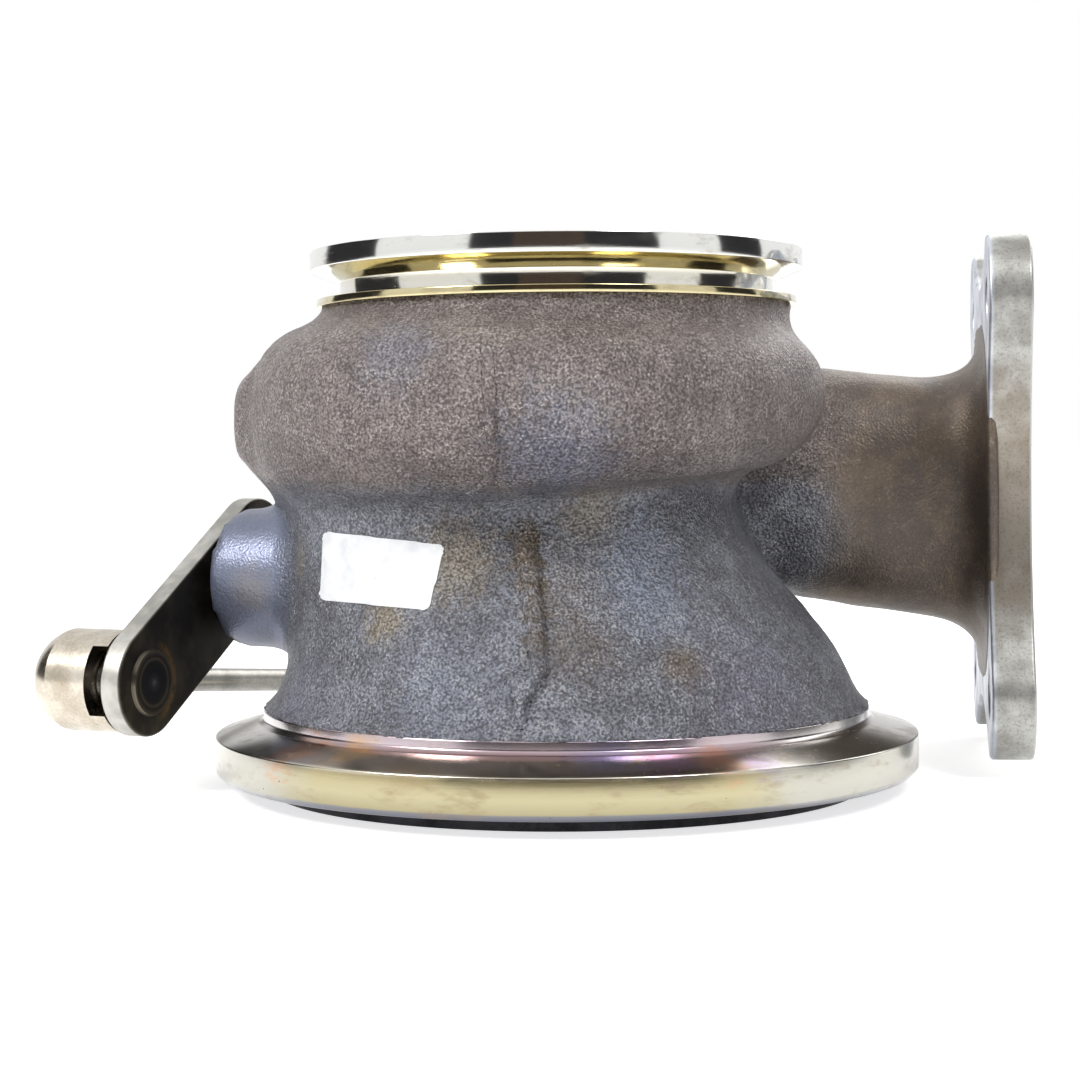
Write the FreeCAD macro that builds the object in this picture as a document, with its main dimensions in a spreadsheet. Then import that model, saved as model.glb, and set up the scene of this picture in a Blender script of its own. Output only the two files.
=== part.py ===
"""Turbine housing of a turbocharger with its built-in wastegate, in millimetres.

The origin is on the outlet axis at the end of the outlet spigot, +Z points up to the joint with
the centre housing and +X is the outward normal of the inlet flange.
"""
import FreeCAD, Part

import math
import os
import re

import Sketcher
from FreeCAD import Vector

DIMENSIONS = {
    # outlet joint, from the spigot up
    "spigot_radius": 50.9,
    "spigot_height": 2.8,
    "outlet_rim_radius": 60.0,
    "outlet_rim_height": 6.6,
    "outlet_rim_chamfer": 1.0,
    "outlet_bevel_radius": 52.6,
    "outlet_bevel_height": 2.1,
    "outlet_neck_radius": 52.2,
    "outlet_neck_height": 2.5,
    "outlet_bore_radius": 45.2,
    # outlet chamber, a bell that leans to the wastegate side
    "wall": 4.5,
    "chamber_height": 36.0,
    "chamber_base_radius": 50.1,
    "chamber_lean": 0.6,
    "chamber_waist_reach": 28.4,
    "chamber_gate_reach": 46.2,
    "chamber_depth": 40.0,
    "chamber_shift": 5.0,
    "chamber_squareness": 2.5,
    "ceiling_thickness": 6.0,
    # joint with the centre housing, from its top face down
    "housing_height": 91.2,
    "joint_rim_radius": 42.3,
    "joint_rim_height": 3.2,
    "joint_bevel_height": 1.9,
    "joint_groove_radius": 37.2,
    "joint_groove_height": 3.0,
    "joint_bevel_radius": 37.5,
    "neck_lip_radius": 41.9,
    "neck_radius": 39.4,
    "neck_height": 3.4,
    "pilot_radius": 33.5,
    "pilot_depth": 4.0,
    # turbine wheel bore
    "wheel_axis_shift": 1.2,
    "backplate_radius": 30.5,
    "nozzle_rise": 17.0,
    "inducer_radius": 24.8,
    "exducer_radius": 22.3,
    "shroud_wall": 4.2,
    "waist_radius": 29.0,
    # scroll, whose sections shrink with the turn, its rises taken from the chamber's top
    "scroll_radius": 20.1,
    "scroll_reach": 38.1,
    "scroll_rise": 11.1,
    "scroll_dip": 6.2,
    "scroll_fullness": 0.35,
    "tongue_radius": 11.7,
    "tongue_reach": 34.3,
    "tongue_rise": 16.5,
    "pad_width": 17.0,
    "pad_height": 15.5,
    "pad_corner": 2.5,
    "pad_reach": 55.7,
    "pad_level": 62.6,
    "pad_bearing": 189.0,
    # inlet duct and flange
    "inlet_reach": 80.0,
    "inlet_side": 41.0,
    "inlet_level": 48.5,
    "duct_drop": 1.3,
    "duct_half_width": 19.5,
    "duct_half_height": 22.6,
    "duct_squareness": 3.0,
    "duct_fillet": 7.0,
    "flange_thickness": 7.5,
    "flange_width": 73.0,
    "flange_height": 91.7,
    "flange_corner": 11.0,
    "flange_side_waist": 9.5,
    "flange_end_waist": 8.0,
    "bolt_spacing_across": 52.0,
    "bolt_spacing_up": 69.0,
    "bolt_hole_radius": 4.25,
    # wastegate shaft and its boss
    "shaft_bearing": 162.8,
    "shaft_level": 35.1,
    "shaft_offset": 13.7,
    "boss_radius": 12.25,
    "boss_reach": 56.45,
    "boss_root": 40.0,
    "bush_radius": 7.25,
    "bush_stand": 0.4,
    "shaft_radius": 4.7,
    "running_clearance": 0.05,
    "press_clearance": 0.01,
    "end_gap": 0.2,
    # valve inside the chamber
    "valve_inset": 33.45,
    "valve_arm": 16.0,
    "seat_level": 41.0,
    "seat_radius": 10.2,
    "port_radius": 6.5,
    "valve_radius": 8.8,
    "valve_thickness": 3.5,
    "stem_radius": 3.0,
    "arm_thickness": 5.7,
    "arm_width": 10.0,
    "eye_radius": 6.6,
    "hub_radius": 7.4,
    "retainer_radius": 5.4,
    "retainer_thickness": 1.3,
    "rivet_radius": 3.9,
    "rivet_height": 1.0,
    "gate_clearance": 1.0,
    # crank lever outside
    "washer_radius": 8.0,
    "washer_thickness": 0.8,
    "lever_thickness": 4.0,
    "lever_half_width": 9.1,
    "lever_length": 31.0,
    "lever_tail": 9.0,
    "lever_drop": 31.6,
    "lever_edge": 0.5,
    "weld_radius": 7.2,
    "weld_height": 1.4,
    # ball joint and link rod
    "stud_radius": 3.9,
    "stud_head_radius": 5.7,
    "stud_head_height": 0.6,
    "stud_collar_height": 0.3,
    "stud_neck_radius": 2.7,
    "ball_radius": 5.0,
    "ball_reach": 7.3,
    "socket_radius": 8.7,
    "socket_length": 11.0,
    "dome_height": 6.5,
    "window_height": 3.0,
    "window_width": 11.6,
    "shank_radius": 4.0,
    "shank_reach": 13.0,
    "clip_wire": 0.5,
    "clip_level": 2.1,
    "clip_gap": 3.0,
    "clip_slot_width": 1.0,
    "clip_slot_length": 3.4,
    "clip_slot_depth": 1.6,
    "rod_radius": 2.15,
    "rod_engagement": 6.5,
    "rod_span": 85.0,
    "rod_slope": 5.5,
    "nut_flats_radius": 4.6,
    "nut_height": 4.0,
}

DIMENSION_NAMES = {alias: f"dims.{alias}" for alias in DIMENSIONS}
SCROLL_TURN = 270.0
SCROLL_START = 90.0
SCROLL_STEP = 15.0
SECTION_POINTS = 24

doc = FreeCAD.newDocument("turbine_housing")
sheet = doc.addObject("Spreadsheet::Sheet", "dims")
for row, (alias, size) in enumerate(DIMENSIONS.items(), 1):
    sheet.set(f"A{row}", alias)
    sheet.set(f"B{row}", str(size))
    sheet.setAlias(f"B{row}", alias)
doc.recompute()


def dim(alias):
    """Return a driving dimension as a number."""
    return float(sheet.get(alias))


def bound(obj, **sizes):
    """Bind properties of an object to expressions on the sheet."""
    for name, text in sizes.items():
        obj.setExpression(name, named(text))
    return obj


def named(text):
    """Write every driving dimension in a text as a reference to the sheet."""
    return re.sub(r"[a-z_]+", lambda word: DIMENSION_NAMES.get(word.group(), word.group()), text)


def placed(obj, x="0", y="0", z="0", yaw="0", pitch="0", roll="0"):
    """Bind an object's place and turn to expressions on the sheet."""
    spot = f"create( <<vector>>; {named(x)}; {named(y)}; {named(z)} )"
    turn = f"create( <<rotation>>; {named(yaw)}; {named(pitch)}; {named(roll)} )"
    obj.setExpression("Placement", f"create( <<placement>>; {spot}; {turn} )")
    return obj


def cylinder(name, radius, height, **place):
    """Add a cylinder on its own +Z axis."""
    obj = bound(doc.addObject("Part::Cylinder", name), Radius=radius, Height=height)
    return placed(obj, **place)


def box(name, length, width, height, **place):
    """Add a box from its own corner."""
    obj = bound(doc.addObject("Part::Box", name), Length=length, Width=width, Height=height)
    return placed(obj, **place)


def fused(name, shapes):
    """Join solids into one."""
    obj = doc.addObject("Part::MultiFuse", name)
    obj.Shapes = shapes
    obj.Refine = True
    return obj


def cut(name, base, tool):
    """Take one solid out of another."""
    obj = doc.addObject("Part::Cut", name)
    obj.Base = base
    obj.Tool = tool
    obj.Refine = True
    return obj


def origin_plane(body, role):
    """Return one of a body's own origin planes."""
    return next(item for item in body.Origin.OriginFeatures if item.Role == role)


def new_sketch(body, name, role):
    """Add a sketch on one of a body's origin planes."""
    sketch = body.newObject("Sketcher::SketchObject", name)
    sketch.AttachmentSupport = [(origin_plane(body, role), "")]
    sketch.MapMode = "FlatFace"
    return sketch


def constrain(sketch, kind, text, geometry, point=None):
    """Add a constraint whose value follows an expression on the sheet."""
    value = sketch.evalExpression(named(text))
    where = (geometry,) if point is None else (geometry, point)
    index = sketch.addConstraint(Sketcher.Constraint(kind, *where, float(value)))
    sketch.setExpression(f"Constraints[{index}]", named(text))


def turned(name, profile, **place):
    """Turn a closed profile of (radius, height) points about the body's Z axis."""
    body = doc.addObject("PartDesign::Body", name)
    sketch = new_sketch(body, name + "_profile", "XZ_Plane")
    spots = []
    for radius, height in profile:
        across = float(sketch.evalExpression(named(radius)))
        up = float(sketch.evalExpression(named(height)))
        spots.append(Vector(across, up, 0))
    for index, spot in enumerate(spots):
        sketch.addGeometry(Part.LineSegment(spot, spots[(index + 1) % len(spots)]))
    for index in range(len(spots)):
        following = (index + 1) % len(spots)
        sketch.addConstraint(Sketcher.Constraint("Coincident", index, 2, following, 1))
    for index, (radius, height) in enumerate(profile):
        constrain(sketch, "DistanceX", radius, index, 1)
        constrain(sketch, "DistanceY", height, index, 1)
    revolution = body.newObject("PartDesign::Revolution", name + "_turned")
    revolution.Profile = sketch
    revolution.ReferenceAxis = (sketch, ["V_Axis"])
    revolution.Angle = 360
    return placed(body, **place)


def shaft_point(across="0", up="0", out="0"):
    """Place a point by its distance from the wastegate shaft's foot.

    across runs level towards the link pin, up runs along +Z and out runs along the shaft.
    """
    level = f"( {across} + shaft_offset )"
    return {
        "x": f"( {out} ) * cos( shaft_bearing ) - {level} * sin( shaft_bearing )",
        "y": f"( {out} ) * sin( shaft_bearing ) + {level} * cos( shaft_bearing )",
        "z": f"shaft_level + {up}",
    }


def on_shaft(across="0", up="0", out="0", turn="0"):
    """Place a piece with its Z axis along the shaft, its X axis turned down from across."""
    place = shaft_point(across, up, out)
    place.update(yaw="shaft_bearing + 90", pitch=turn, roll="90")
    return place


def section(centre, across, up, half_across, half_up, squareness):
    """Make a closed rounded section, an ellipse at squareness 2."""
    points = []
    for index in range(SECTION_POINTS):
        angle = 2 * math.pi * index / SECTION_POINTS
        cosine = math.cos(angle)
        sine = math.sin(angle)
        reach = (abs(cosine) ** squareness + abs(sine) ** squareness) ** (-1 / squareness)
        points.append(centre + across * (half_across * cosine * reach) + up * (half_up * sine * reach))
    curve = Part.BSplineCurve()
    curve.interpolate(points, PeriodicFlag=True)
    return Part.Wire([curve.toShape()])


def smooth(share):
    """Ease a share from 0 to 1 with level ends."""
    return share * share * (3 - 2 * share)


def chamber_floor():
    """Return the level where the outlet chamber's bell starts."""
    level = dim("spigot_height") + dim("outlet_rim_height")
    return level + dim("outlet_bevel_height") + dim("outlet_neck_height")


def chamber_top():
    """Return the level of the outlet chamber's top."""
    return chamber_floor() + dim("chamber_height")


def scroll_section(turn, inset):
    """Return the scroll's section at a turn about the wheel axis, inset by a wall."""
    left = 1 - (turn - SCROLL_START) / SCROLL_TURN
    radius = dim("tongue_radius") + (dim("scroll_radius") - dim("tongue_radius")) * left - inset
    reach = dim("tongue_reach") + (dim("scroll_reach") - dim("tongue_reach")) * left
    height = chamber_top() + dim("tongue_rise") + (dim("scroll_rise") - dim("tongue_rise")) * left
    height -= dim("scroll_dip") * max(left, 0) ** 6
    fullness = 2 + dim("scroll_fullness") * max(left * (1 - left), 0) * 4
    angle = math.radians(turn)
    outward = Vector(math.cos(angle), math.sin(angle), 0)
    centre = Vector(-dim("wheel_axis_shift"), 0, height) + outward * reach
    return section(centre, outward, Vector(0, 0, 1), radius, radius, fullness)


def duct_section(station, inset, flare):
    """Return the inlet duct's section at a distance along X, inset by a wall."""
    share = smooth((station + dim("wheel_axis_shift")) / (dim("inlet_reach") + dim("wheel_axis_shift")))
    start = dim("scroll_radius")
    half_across = start + (dim("duct_half_width") - start) * share - inset + flare
    half_up = start + (dim("duct_half_height") - start) * share - inset + flare
    side = dim("scroll_reach") + (dim("inlet_side") - dim("scroll_reach")) * share
    first_level = chamber_top() + dim("scroll_rise") - dim("scroll_dip")
    level = first_level + (dim("inlet_level") - dim("duct_drop") - first_level) * share
    squareness = 2 + (dim("duct_squareness") - 2) * share
    centre = Vector(station, side, level)
    return section(centre, Vector(0, 1, 0), Vector(0, 0, 1), half_across, half_up, squareness)


def loft(name, wires):
    """Add a smooth solid through closed sections."""
    obj = doc.addObject("Part::Feature", name)
    obj.Shape = Part.makeLoft(wires, True, False)
    return obj


def scroll_lofts(name, inset, overrun):
    """Add the inlet duct with the scroll's first three quarters, and its last quarter to the tongue."""
    face = dim("inlet_reach") - dim("flange_thickness")
    fillet = 0 if inset else dim("duct_fillet")
    flare_shares = (0,) if inset else (0, 0.12, 0.3, 0.6, 1)
    wires = [duct_section(dim("inlet_reach") + overrun, inset, fillet)]
    for share in flare_shares:
        flare = fillet * (1 - math.sqrt(1 - (1 - share) ** 2))
        wires.append(duct_section(face - fillet * share, inset, flare))
    straight = face - dim("duct_fillet") + dim("wheel_axis_shift")
    for share in (0.75, 0.5, 0.25):
        wires.append(duct_section(straight * share - dim("wheel_axis_shift"), inset, 0))
    for index in range(int(SCROLL_TURN / SCROLL_STEP) + 1):
        wires.append(scroll_section(SCROLL_START + index * SCROLL_STEP, inset))
    last = []
    for index in range(int((360 - SCROLL_TURN) / SCROLL_STEP) + 1):
        last.append(scroll_section(SCROLL_START + SCROLL_TURN + index * SCROLL_STEP, inset))
    return [loft(name + "_run", wires), loft(name + "_tail", last)]


def chamber_loft(name, inset, low, high):
    """Add the outlet chamber's bell between two heights, inset by a wall."""
    base = chamber_floor()
    steps = 10
    wires = []
    for index in range(steps + 1):
        height = high + (low - high) * index / steps
        fall = 1 - (height - base) / dim("chamber_height")
        bell = smooth(min(max(fall, 0), 1))
        rise = max(fall, 0) ** 6
        right_base = dim("chamber_base_radius") - dim("chamber_lean")
        left_base = dim("chamber_base_radius") + dim("chamber_lean")
        right = dim("chamber_waist_reach") + (right_base - dim("chamber_waist_reach")) * bell
        left = dim("chamber_gate_reach") + (left_base - dim("chamber_gate_reach")) * rise
        deep = dim("chamber_depth") + (dim("chamber_base_radius") - dim("chamber_depth")) * bell
        square = 2 + (dim("chamber_squareness") - 2) * (1 - bell)
        centre = Vector((right - left) / 2, dim("chamber_shift") * (1 - bell), height)
        half = (right + left) / 2
        wires.append(section(
            centre, Vector(1, 0, 0), Vector(0, 1, 0), half - inset, deep - inset, square,
        ))
    return loft(name, wires)


# outlet joint with its rim, bevel and neck
RIM_FLOOR = "spigot_height"
RIM_TOP = "( spigot_height + outlet_rim_height )"
BEVEL_TOP = "( spigot_height + outlet_rim_height + outlet_bevel_height )"
CHAMBER_FLOOR = "( spigot_height + outlet_rim_height + outlet_bevel_height + outlet_neck_height )"
CHAMBER_TOP = f"( {CHAMBER_FLOOR} + chamber_height )"
CEILING = f"( {CHAMBER_TOP} - ceiling_thickness )"

outlet_joint = turned("outlet_joint", [
    ("outlet_bore_radius", "0"),
    ("spigot_radius", "0"),
    ("spigot_radius", RIM_FLOOR),
    ("outlet_rim_radius - outlet_rim_chamfer", RIM_FLOOR),
    ("outlet_rim_radius", f"{RIM_FLOOR} + outlet_rim_chamfer"),
    ("outlet_rim_radius", RIM_TOP),
    ("outlet_bevel_radius", BEVEL_TOP),
    ("outlet_neck_radius", CHAMBER_FLOOR),
    ("outlet_bore_radius", CHAMBER_FLOOR),
])

# core under the centre housing joint: waist, neck, groove, bevel and rim
RIM_EDGE = "( housing_height - joint_rim_height )"
GROOVE_TOP = "( housing_height - joint_rim_height - joint_bevel_height )"
GROOVE_FLOOR = "( housing_height - joint_rim_height - joint_bevel_height - joint_groove_height )"
NECK_LEVEL = f"( {GROOVE_FLOOR} - neck_height )"
AXIS = "- wheel_axis_shift"
TONGUE_LEVEL = f"( {CHAMBER_TOP} + tongue_rise )"
NOZZLE_FLOOR = f"( {CHAMBER_TOP} + nozzle_rise )"
FLARE_SHARE, FLARE_LEVEL, LIP_LEVEL, FLANK_LEVEL = 0.3, 0.5, 0.94, 0.7
core = turned("core", [
    ("inducer_radius - wall", f"{CEILING} + 1"),
    ("waist_radius", f"{CEILING} + 1"),
    ("waist_radius", CHAMBER_TOP),
    ("tongue_reach", f"{TONGUE_LEVEL} - tongue_radius"),
    ("neck_radius", f"{TONGUE_LEVEL} - tongue_radius * {FLANK_LEVEL}"),
    ("neck_radius", NECK_LEVEL),
    (
        f"neck_radius + ( neck_lip_radius - neck_radius ) * {FLARE_SHARE}",
        f"{NECK_LEVEL} + neck_height * {FLARE_LEVEL}",
    ),
    ("neck_lip_radius", f"{NECK_LEVEL} + neck_height * {LIP_LEVEL}"),
    ("neck_lip_radius", GROOVE_FLOOR),
    ("joint_groove_radius", GROOVE_FLOOR),
    ("joint_groove_radius", GROOVE_TOP),
    ("joint_bevel_radius", GROOVE_TOP),
    ("joint_rim_radius", RIM_EDGE),
    ("joint_rim_radius", "housing_height"),
    ("inducer_radius - wall", "housing_height"),
], x=AXIS)
shroud = turned("shroud", [
    ("exducer_radius - 2", f"{CEILING} + 1"),
    ("exducer_radius + shroud_wall", f"{CEILING} + 1"),
    ("inducer_radius + shroud_wall", f"{NOZZLE_FLOOR} - shroud_wall"),
    ("inducer_radius + shroud_wall / 2", NOZZLE_FLOOR),
    ("exducer_radius - 2", NOZZLE_FLOOR),
], x=AXIS)
wheel_bore = turned("wheel_bore", [
    ("0", f"{CEILING} - 1"),
    ("exducer_radius", f"{CEILING} - 1"),
    ("exducer_radius", f"{NOZZLE_FLOOR} - shroud_wall * 2"),
    ("inducer_radius", f"{NOZZLE_FLOOR} - shroud_wall"),
    ("inducer_radius", NOZZLE_FLOOR),
    ("backplate_radius", NOZZLE_FLOOR),
    ("backplate_radius", "housing_height - pilot_depth"),
    ("pilot_radius", "housing_height - pilot_depth"),
    ("pilot_radius", "housing_height + 1"),
    ("0", "housing_height + 1"),
], x=AXIS)

# outlet chamber, hollow before the scroll joins it
chamber = cut(
    "chamber",
    chamber_loft("chamber_outer", 0, chamber_floor() - 1, chamber_top()),
    chamber_loft("chamber_inner", dim("wall"), chamber_floor() - 2, chamber_top() - dim("ceiling_thickness")),
)

# inlet flange: a plate with rounded ears and waisted sides
plate = box(
    "flange_plate", "flange_thickness", "flange_width", "flange_height",
    x="inlet_reach - flange_thickness",
    y="inlet_side - flange_width / 2",
    z="inlet_level - flange_height / 2",
)
doc.recompute()
rounded_plate = doc.addObject("Part::Fillet", "flange_corners")
rounded_plate.Base = plate
corners = []
for index, edge in enumerate(plate.Shape.Edges, 1):
    if abs(edge.tangentAt(edge.FirstParameter).x) > 0.9:
        corners.append((index, dim("flange_corner"), dim("flange_corner")))
rounded_plate.Edges = corners
waists = []
for side, name in ((-1, "near"), (1, "far")):
    for length, other, axis in (
        ("flange_height", "flange_width", "y"),
        ("flange_width", "flange_height", "z"),
    ):
        half = f"( {length} / 2 - flange_corner * 1.2 )"
        depth = "flange_side_waist" if axis == "y" else "flange_end_waist"
        radius = f"( ( {half} ^ 2 + ( {depth} ) ^ 2 ) / ( 2 * {depth} ) )"
        away = f"{side} * ( {other} / 2 - {depth} + {radius} )"
        waists.append(cylinder(
            f"waist_{name}_{axis}", radius, "flange_thickness + 2",
            x="inlet_reach - flange_thickness - 1",
            y=f"inlet_side + {away}" if axis == "y" else "inlet_side",
            z=f"inlet_level + {away}" if axis == "z" else "inlet_level",
            pitch="90",
        ))
inlet_flange = cut("inlet_flange", rounded_plate, fused("flange_waists", waists))
bolt_holes = []
for across in (-1, 1):
    for up in (-1, 1):
        bolt_holes.append(cylinder(
            f"bolt_hole_{across + 1}{up + 1}", "bolt_hole_radius", "flange_thickness + 2",
            x="inlet_reach - flange_thickness - 1",
            y=f"inlet_side + {across} * bolt_spacing_across / 2",
            z=f"inlet_level + {up} * bolt_spacing_up / 2",
            pitch="90",
        ))

# wastegate boss, seat and port
VALVE = shaft_point("- valve_arm", out="valve_inset")
boss = cylinder("boss", "boss_radius", "boss_reach - boss_root", **on_shaft(out="boss_root"))
bush_bore = cylinder(
    "bush_bore", "bush_radius + press_clearance", "boss_reach - boss_root + 6",
    **on_shaft(out="boss_root - 3"),
)
seat = cylinder(
    "seat", "seat_radius", f"{CEILING} + 2 - seat_level",
    x=VALVE["x"], y=VALVE["y"], z="seat_level",
)
gate_room = cylinder(
    "gate_room", "valve_radius + gate_clearance", f"seat_level - {CHAMBER_FLOOR}",
    x=VALVE["x"], y=VALVE["y"], z=CHAMBER_FLOOR,
)
hub_room = cylinder(
    "hub_room", "hub_radius + gate_clearance", "boss_root - valve_inset + arm_width",
    **on_shaft(out="valve_inset - arm_width"),
)
port = cylinder("port", "port_radius", "wall * 3", x=VALVE["x"], y=VALVE["y"], z="seat_level - 1")

# plain pad on the scroll's outside
pad_block = box(
    "pad_block", "scroll_radius", "pad_width", "pad_height",
    x=f"{AXIS} + ( pad_reach - scroll_radius ) * cos( pad_bearing ) + pad_width / 2 * sin( pad_bearing )",
    y="( pad_reach - scroll_radius ) * sin( pad_bearing ) - pad_width / 2 * cos( pad_bearing )",
    z="pad_level - pad_height / 2",
    yaw="pad_bearing",
)
doc.recompute()
pad = doc.addObject("Part::Fillet", "pad")
pad.Base = pad_block
pad_edges = []
for index, edge in enumerate(pad_block.Shape.Edges, 1):
    along = edge.tangentAt(edge.FirstParameter)
    middle = edge.valueAt((edge.FirstParameter + edge.LastParameter) / 2)
    bearing = math.radians(dim("pad_bearing"))
    reach = (middle.x + dim("wheel_axis_shift")) * math.cos(bearing) + middle.y * math.sin(bearing)
    if reach > dim("pad_reach") - 1 or abs(along.x * math.cos(bearing) + along.y * math.sin(bearing)) > 0.9:
        pad_edges.append((index, dim("pad_corner"), dim("pad_corner")))
pad.Edges = pad_edges
shell = fused(
    "shell", [chamber, outlet_joint, core, inlet_flange, boss, seat, pad] + scroll_lofts("scroll", 0, 0),
)
passage = fused("passage", scroll_lofts("passage", dim("wall"), 1))
hollow = cut("hollow", shell, passage)
with_shroud = fused("with_shroud", [hollow, shroud])
cutters = [wheel_bore, bush_bore, gate_room, hub_room, port] + bolt_holes
turbine_housing = cut(
    "turbine_housing_casting", with_shroud, fused("machining", cutters)
)

# bush pressed into the boss, a little proud of it
wastegate_bush = turned("wastegate_bush_ring", [
    ("shaft_radius + running_clearance", "0"),
    ("bush_radius", "0"),
    ("bush_radius", "boss_reach - boss_root + bush_stand - 0.5"),
    ("bush_radius - 0.5", "boss_reach - boss_root + bush_stand"),
    ("shaft_radius + running_clearance", "boss_reach - boss_root + bush_stand"),
], **on_shaft(out="boss_root"))
LEVER_FACE = "( boss_reach + bush_stand + washer_thickness + 2 * end_gap )"
LEVER_BACK = f"( {LEVER_FACE} + lever_thickness )"
thrust_washer = turned("thrust_washer_ring", [
    ("shaft_radius + running_clearance", "0"),
    ("washer_radius", "0"),
    ("washer_radius", "washer_thickness"),
    ("shaft_radius + running_clearance", "washer_thickness"),
], **on_shaft(out="boss_reach + bush_stand + end_gap"))

# shaft with the arm that carries the valve
EYE_TOP = "( seat_level - shaft_level - valve_thickness - 2 * end_gap )"
shaft = cylinder(
    "shaft", "shaft_radius", f"{LEVER_BACK} + weld_height / 2 - valve_inset",
    **on_shaft(out="valve_inset"),
)
hub = cylinder(
    "arm_hub", "hub_radius", "boss_root - end_gap - valve_inset + arm_width / 2 + 1",
    **on_shaft(out="valve_inset - arm_width / 2 - 1"),
)
web = box(
    "arm_web", "valve_arm", "arm_thickness", "arm_width",
    **on_shaft("- valve_arm", f"{EYE_TOP} - arm_thickness", "valve_inset - arm_width / 2"),
)
EYE_FLOOR = f"( shaft_level + {EYE_TOP} - arm_thickness )"
eye = cylinder(
    "arm_eye", "eye_radius", "arm_thickness",
    x=VALVE["x"], y=VALVE["y"], z=EYE_FLOOR,
)
eye_hole = cylinder(
    "arm_eye_hole", "stem_radius + running_clearance", "arm_thickness + 2",
    x=VALVE["x"], y=VALVE["y"], z=f"{EYE_FLOOR} - 1",
)
swing_arm = cut("swing_arm_forging", fused("arm_blank", [shaft, hub, web, eye]), eye_hole)

# valve with its stem, and the washer riveted under the arm
STEM = "( arm_thickness + 2 * end_gap + retainer_thickness )"
UNDERSIDE = "( seat_level - end_gap - valve_thickness )"
valve_disc = turned("valve_disc_turned", [
    ("0", f"- {STEM} - rivet_height"),
    ("rivet_radius - 0.4", f"- {STEM} - rivet_height"),
    ("rivet_radius", f"- {STEM} - rivet_height + 0.4"),
    ("rivet_radius", f"- {STEM}"),
    ("stem_radius", f"- {STEM}"),
    ("stem_radius", "0"),
    ("valve_radius - 0.8", "0"),
    ("valve_radius", "0.8"),
    ("valve_radius", "valve_thickness"),
    ("0", "valve_thickness"),
], x=VALVE["x"], y=VALVE["y"], z=UNDERSIDE)
valve_washer = turned("valve_washer_ring", [
    ("stem_radius + press_clearance", "0"),
    ("retainer_radius", "0"),
    ("retainer_radius", "retainer_thickness"),
    ("stem_radius + press_clearance", "retainer_thickness"),
], x=VALVE["x"], y=VALVE["y"], z=f"{UNDERSIDE} - {STEM}")

# crank lever, drawn with its shaft hole at the origin and its stud hole along X
lever_body = doc.addObject("PartDesign::Body", "crank_lever_plate")
outline = new_sketch(lever_body, "crank_lever_outline", "XY_Plane")
length = dim("lever_length")
half = dim("lever_half_width")
tail = dim("lever_tail")
upwards = Vector(0, 0, 1)
pin_end = Part.Circle(Vector(length, 0, 0), upwards, half)
tail_end = Part.Circle(Vector(-tail, 0, 0), upwards, half)
outline.addGeometry(Part.LineSegment(Vector(-tail, half, 0), Vector(length, half, 0)))
outline.addGeometry(Part.ArcOfCircle(pin_end, -math.pi / 2, math.pi / 2))
outline.addGeometry(Part.LineSegment(Vector(length, -half, 0), Vector(-tail, -half, 0)))
outline.addGeometry(Part.ArcOfCircle(tail_end, math.pi / 2, -math.pi / 2))
outline.addGeometry(Part.Circle(Vector(0, 0, 0), upwards, dim("shaft_radius")))
outline.addGeometry(Part.Circle(Vector(length, 0, 0), upwards, dim("stud_radius")))
for first, first_end, second, second_end in ((0, 2, 1, 2), (1, 1, 2, 1), (2, 2, 3, 2), (3, 1, 0, 1)):
    outline.addConstraint(Sketcher.Constraint("Tangent", first, first_end, second, second_end))
outline.addConstraint(Sketcher.Constraint("PointOnObject", 3, 3, -1))
outline.addConstraint(Sketcher.Constraint("Coincident", 4, 3, -1, 1))
outline.addConstraint(Sketcher.Constraint("Coincident", 5, 3, 1, 3))
outline.addConstraint(Sketcher.Constraint("PointOnObject", 1, 3, -1))
constrain(outline, "DistanceX", "lever_length", 1, 3)
constrain(outline, "DistanceX", "- lever_tail", 3, 3)
constrain(outline, "Radius", "lever_half_width", 1)
constrain(outline, "Radius", "shaft_radius + press_clearance", 4)
constrain(outline, "Radius", "stud_radius + press_clearance", 5)
lever_pad = lever_body.newObject("PartDesign::Pad", "crank_lever_pad")
lever_pad.Profile = outline
bound(lever_pad, Length="lever_thickness")
doc.recompute()
lever_rim = []
for index, edge in enumerate(lever_pad.Shape.Edges, 1):
    box_size = edge.BoundBox
    reach = max(abs(box_size.YMin), abs(box_size.YMax))
    if box_size.ZLength < 0.01 and reach > half - 0.1:
        lever_rim.append(f"Edge{index}")
lever_edges = lever_body.newObject("PartDesign::Fillet", "crank_lever_edges")
lever_edges.Base = (lever_pad, lever_rim)
bound(lever_edges, Radius="lever_edge")
crank_lever = placed(lever_body, **on_shaft(out=LEVER_FACE, turn="lever_drop"))
lever_weld = turned("lever_weld_bead", [
    ("shaft_radius + press_clearance", "0"),
    ("weld_radius", "0"),
    ("weld_radius - weld_height * 0.3", "weld_height * 0.6"),
    ("shaft_radius + press_clearance + 0.8", "weld_height"),
    ("shaft_radius + press_clearance", "weld_height"),
], **on_shaft(out=LEVER_BACK))

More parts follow.
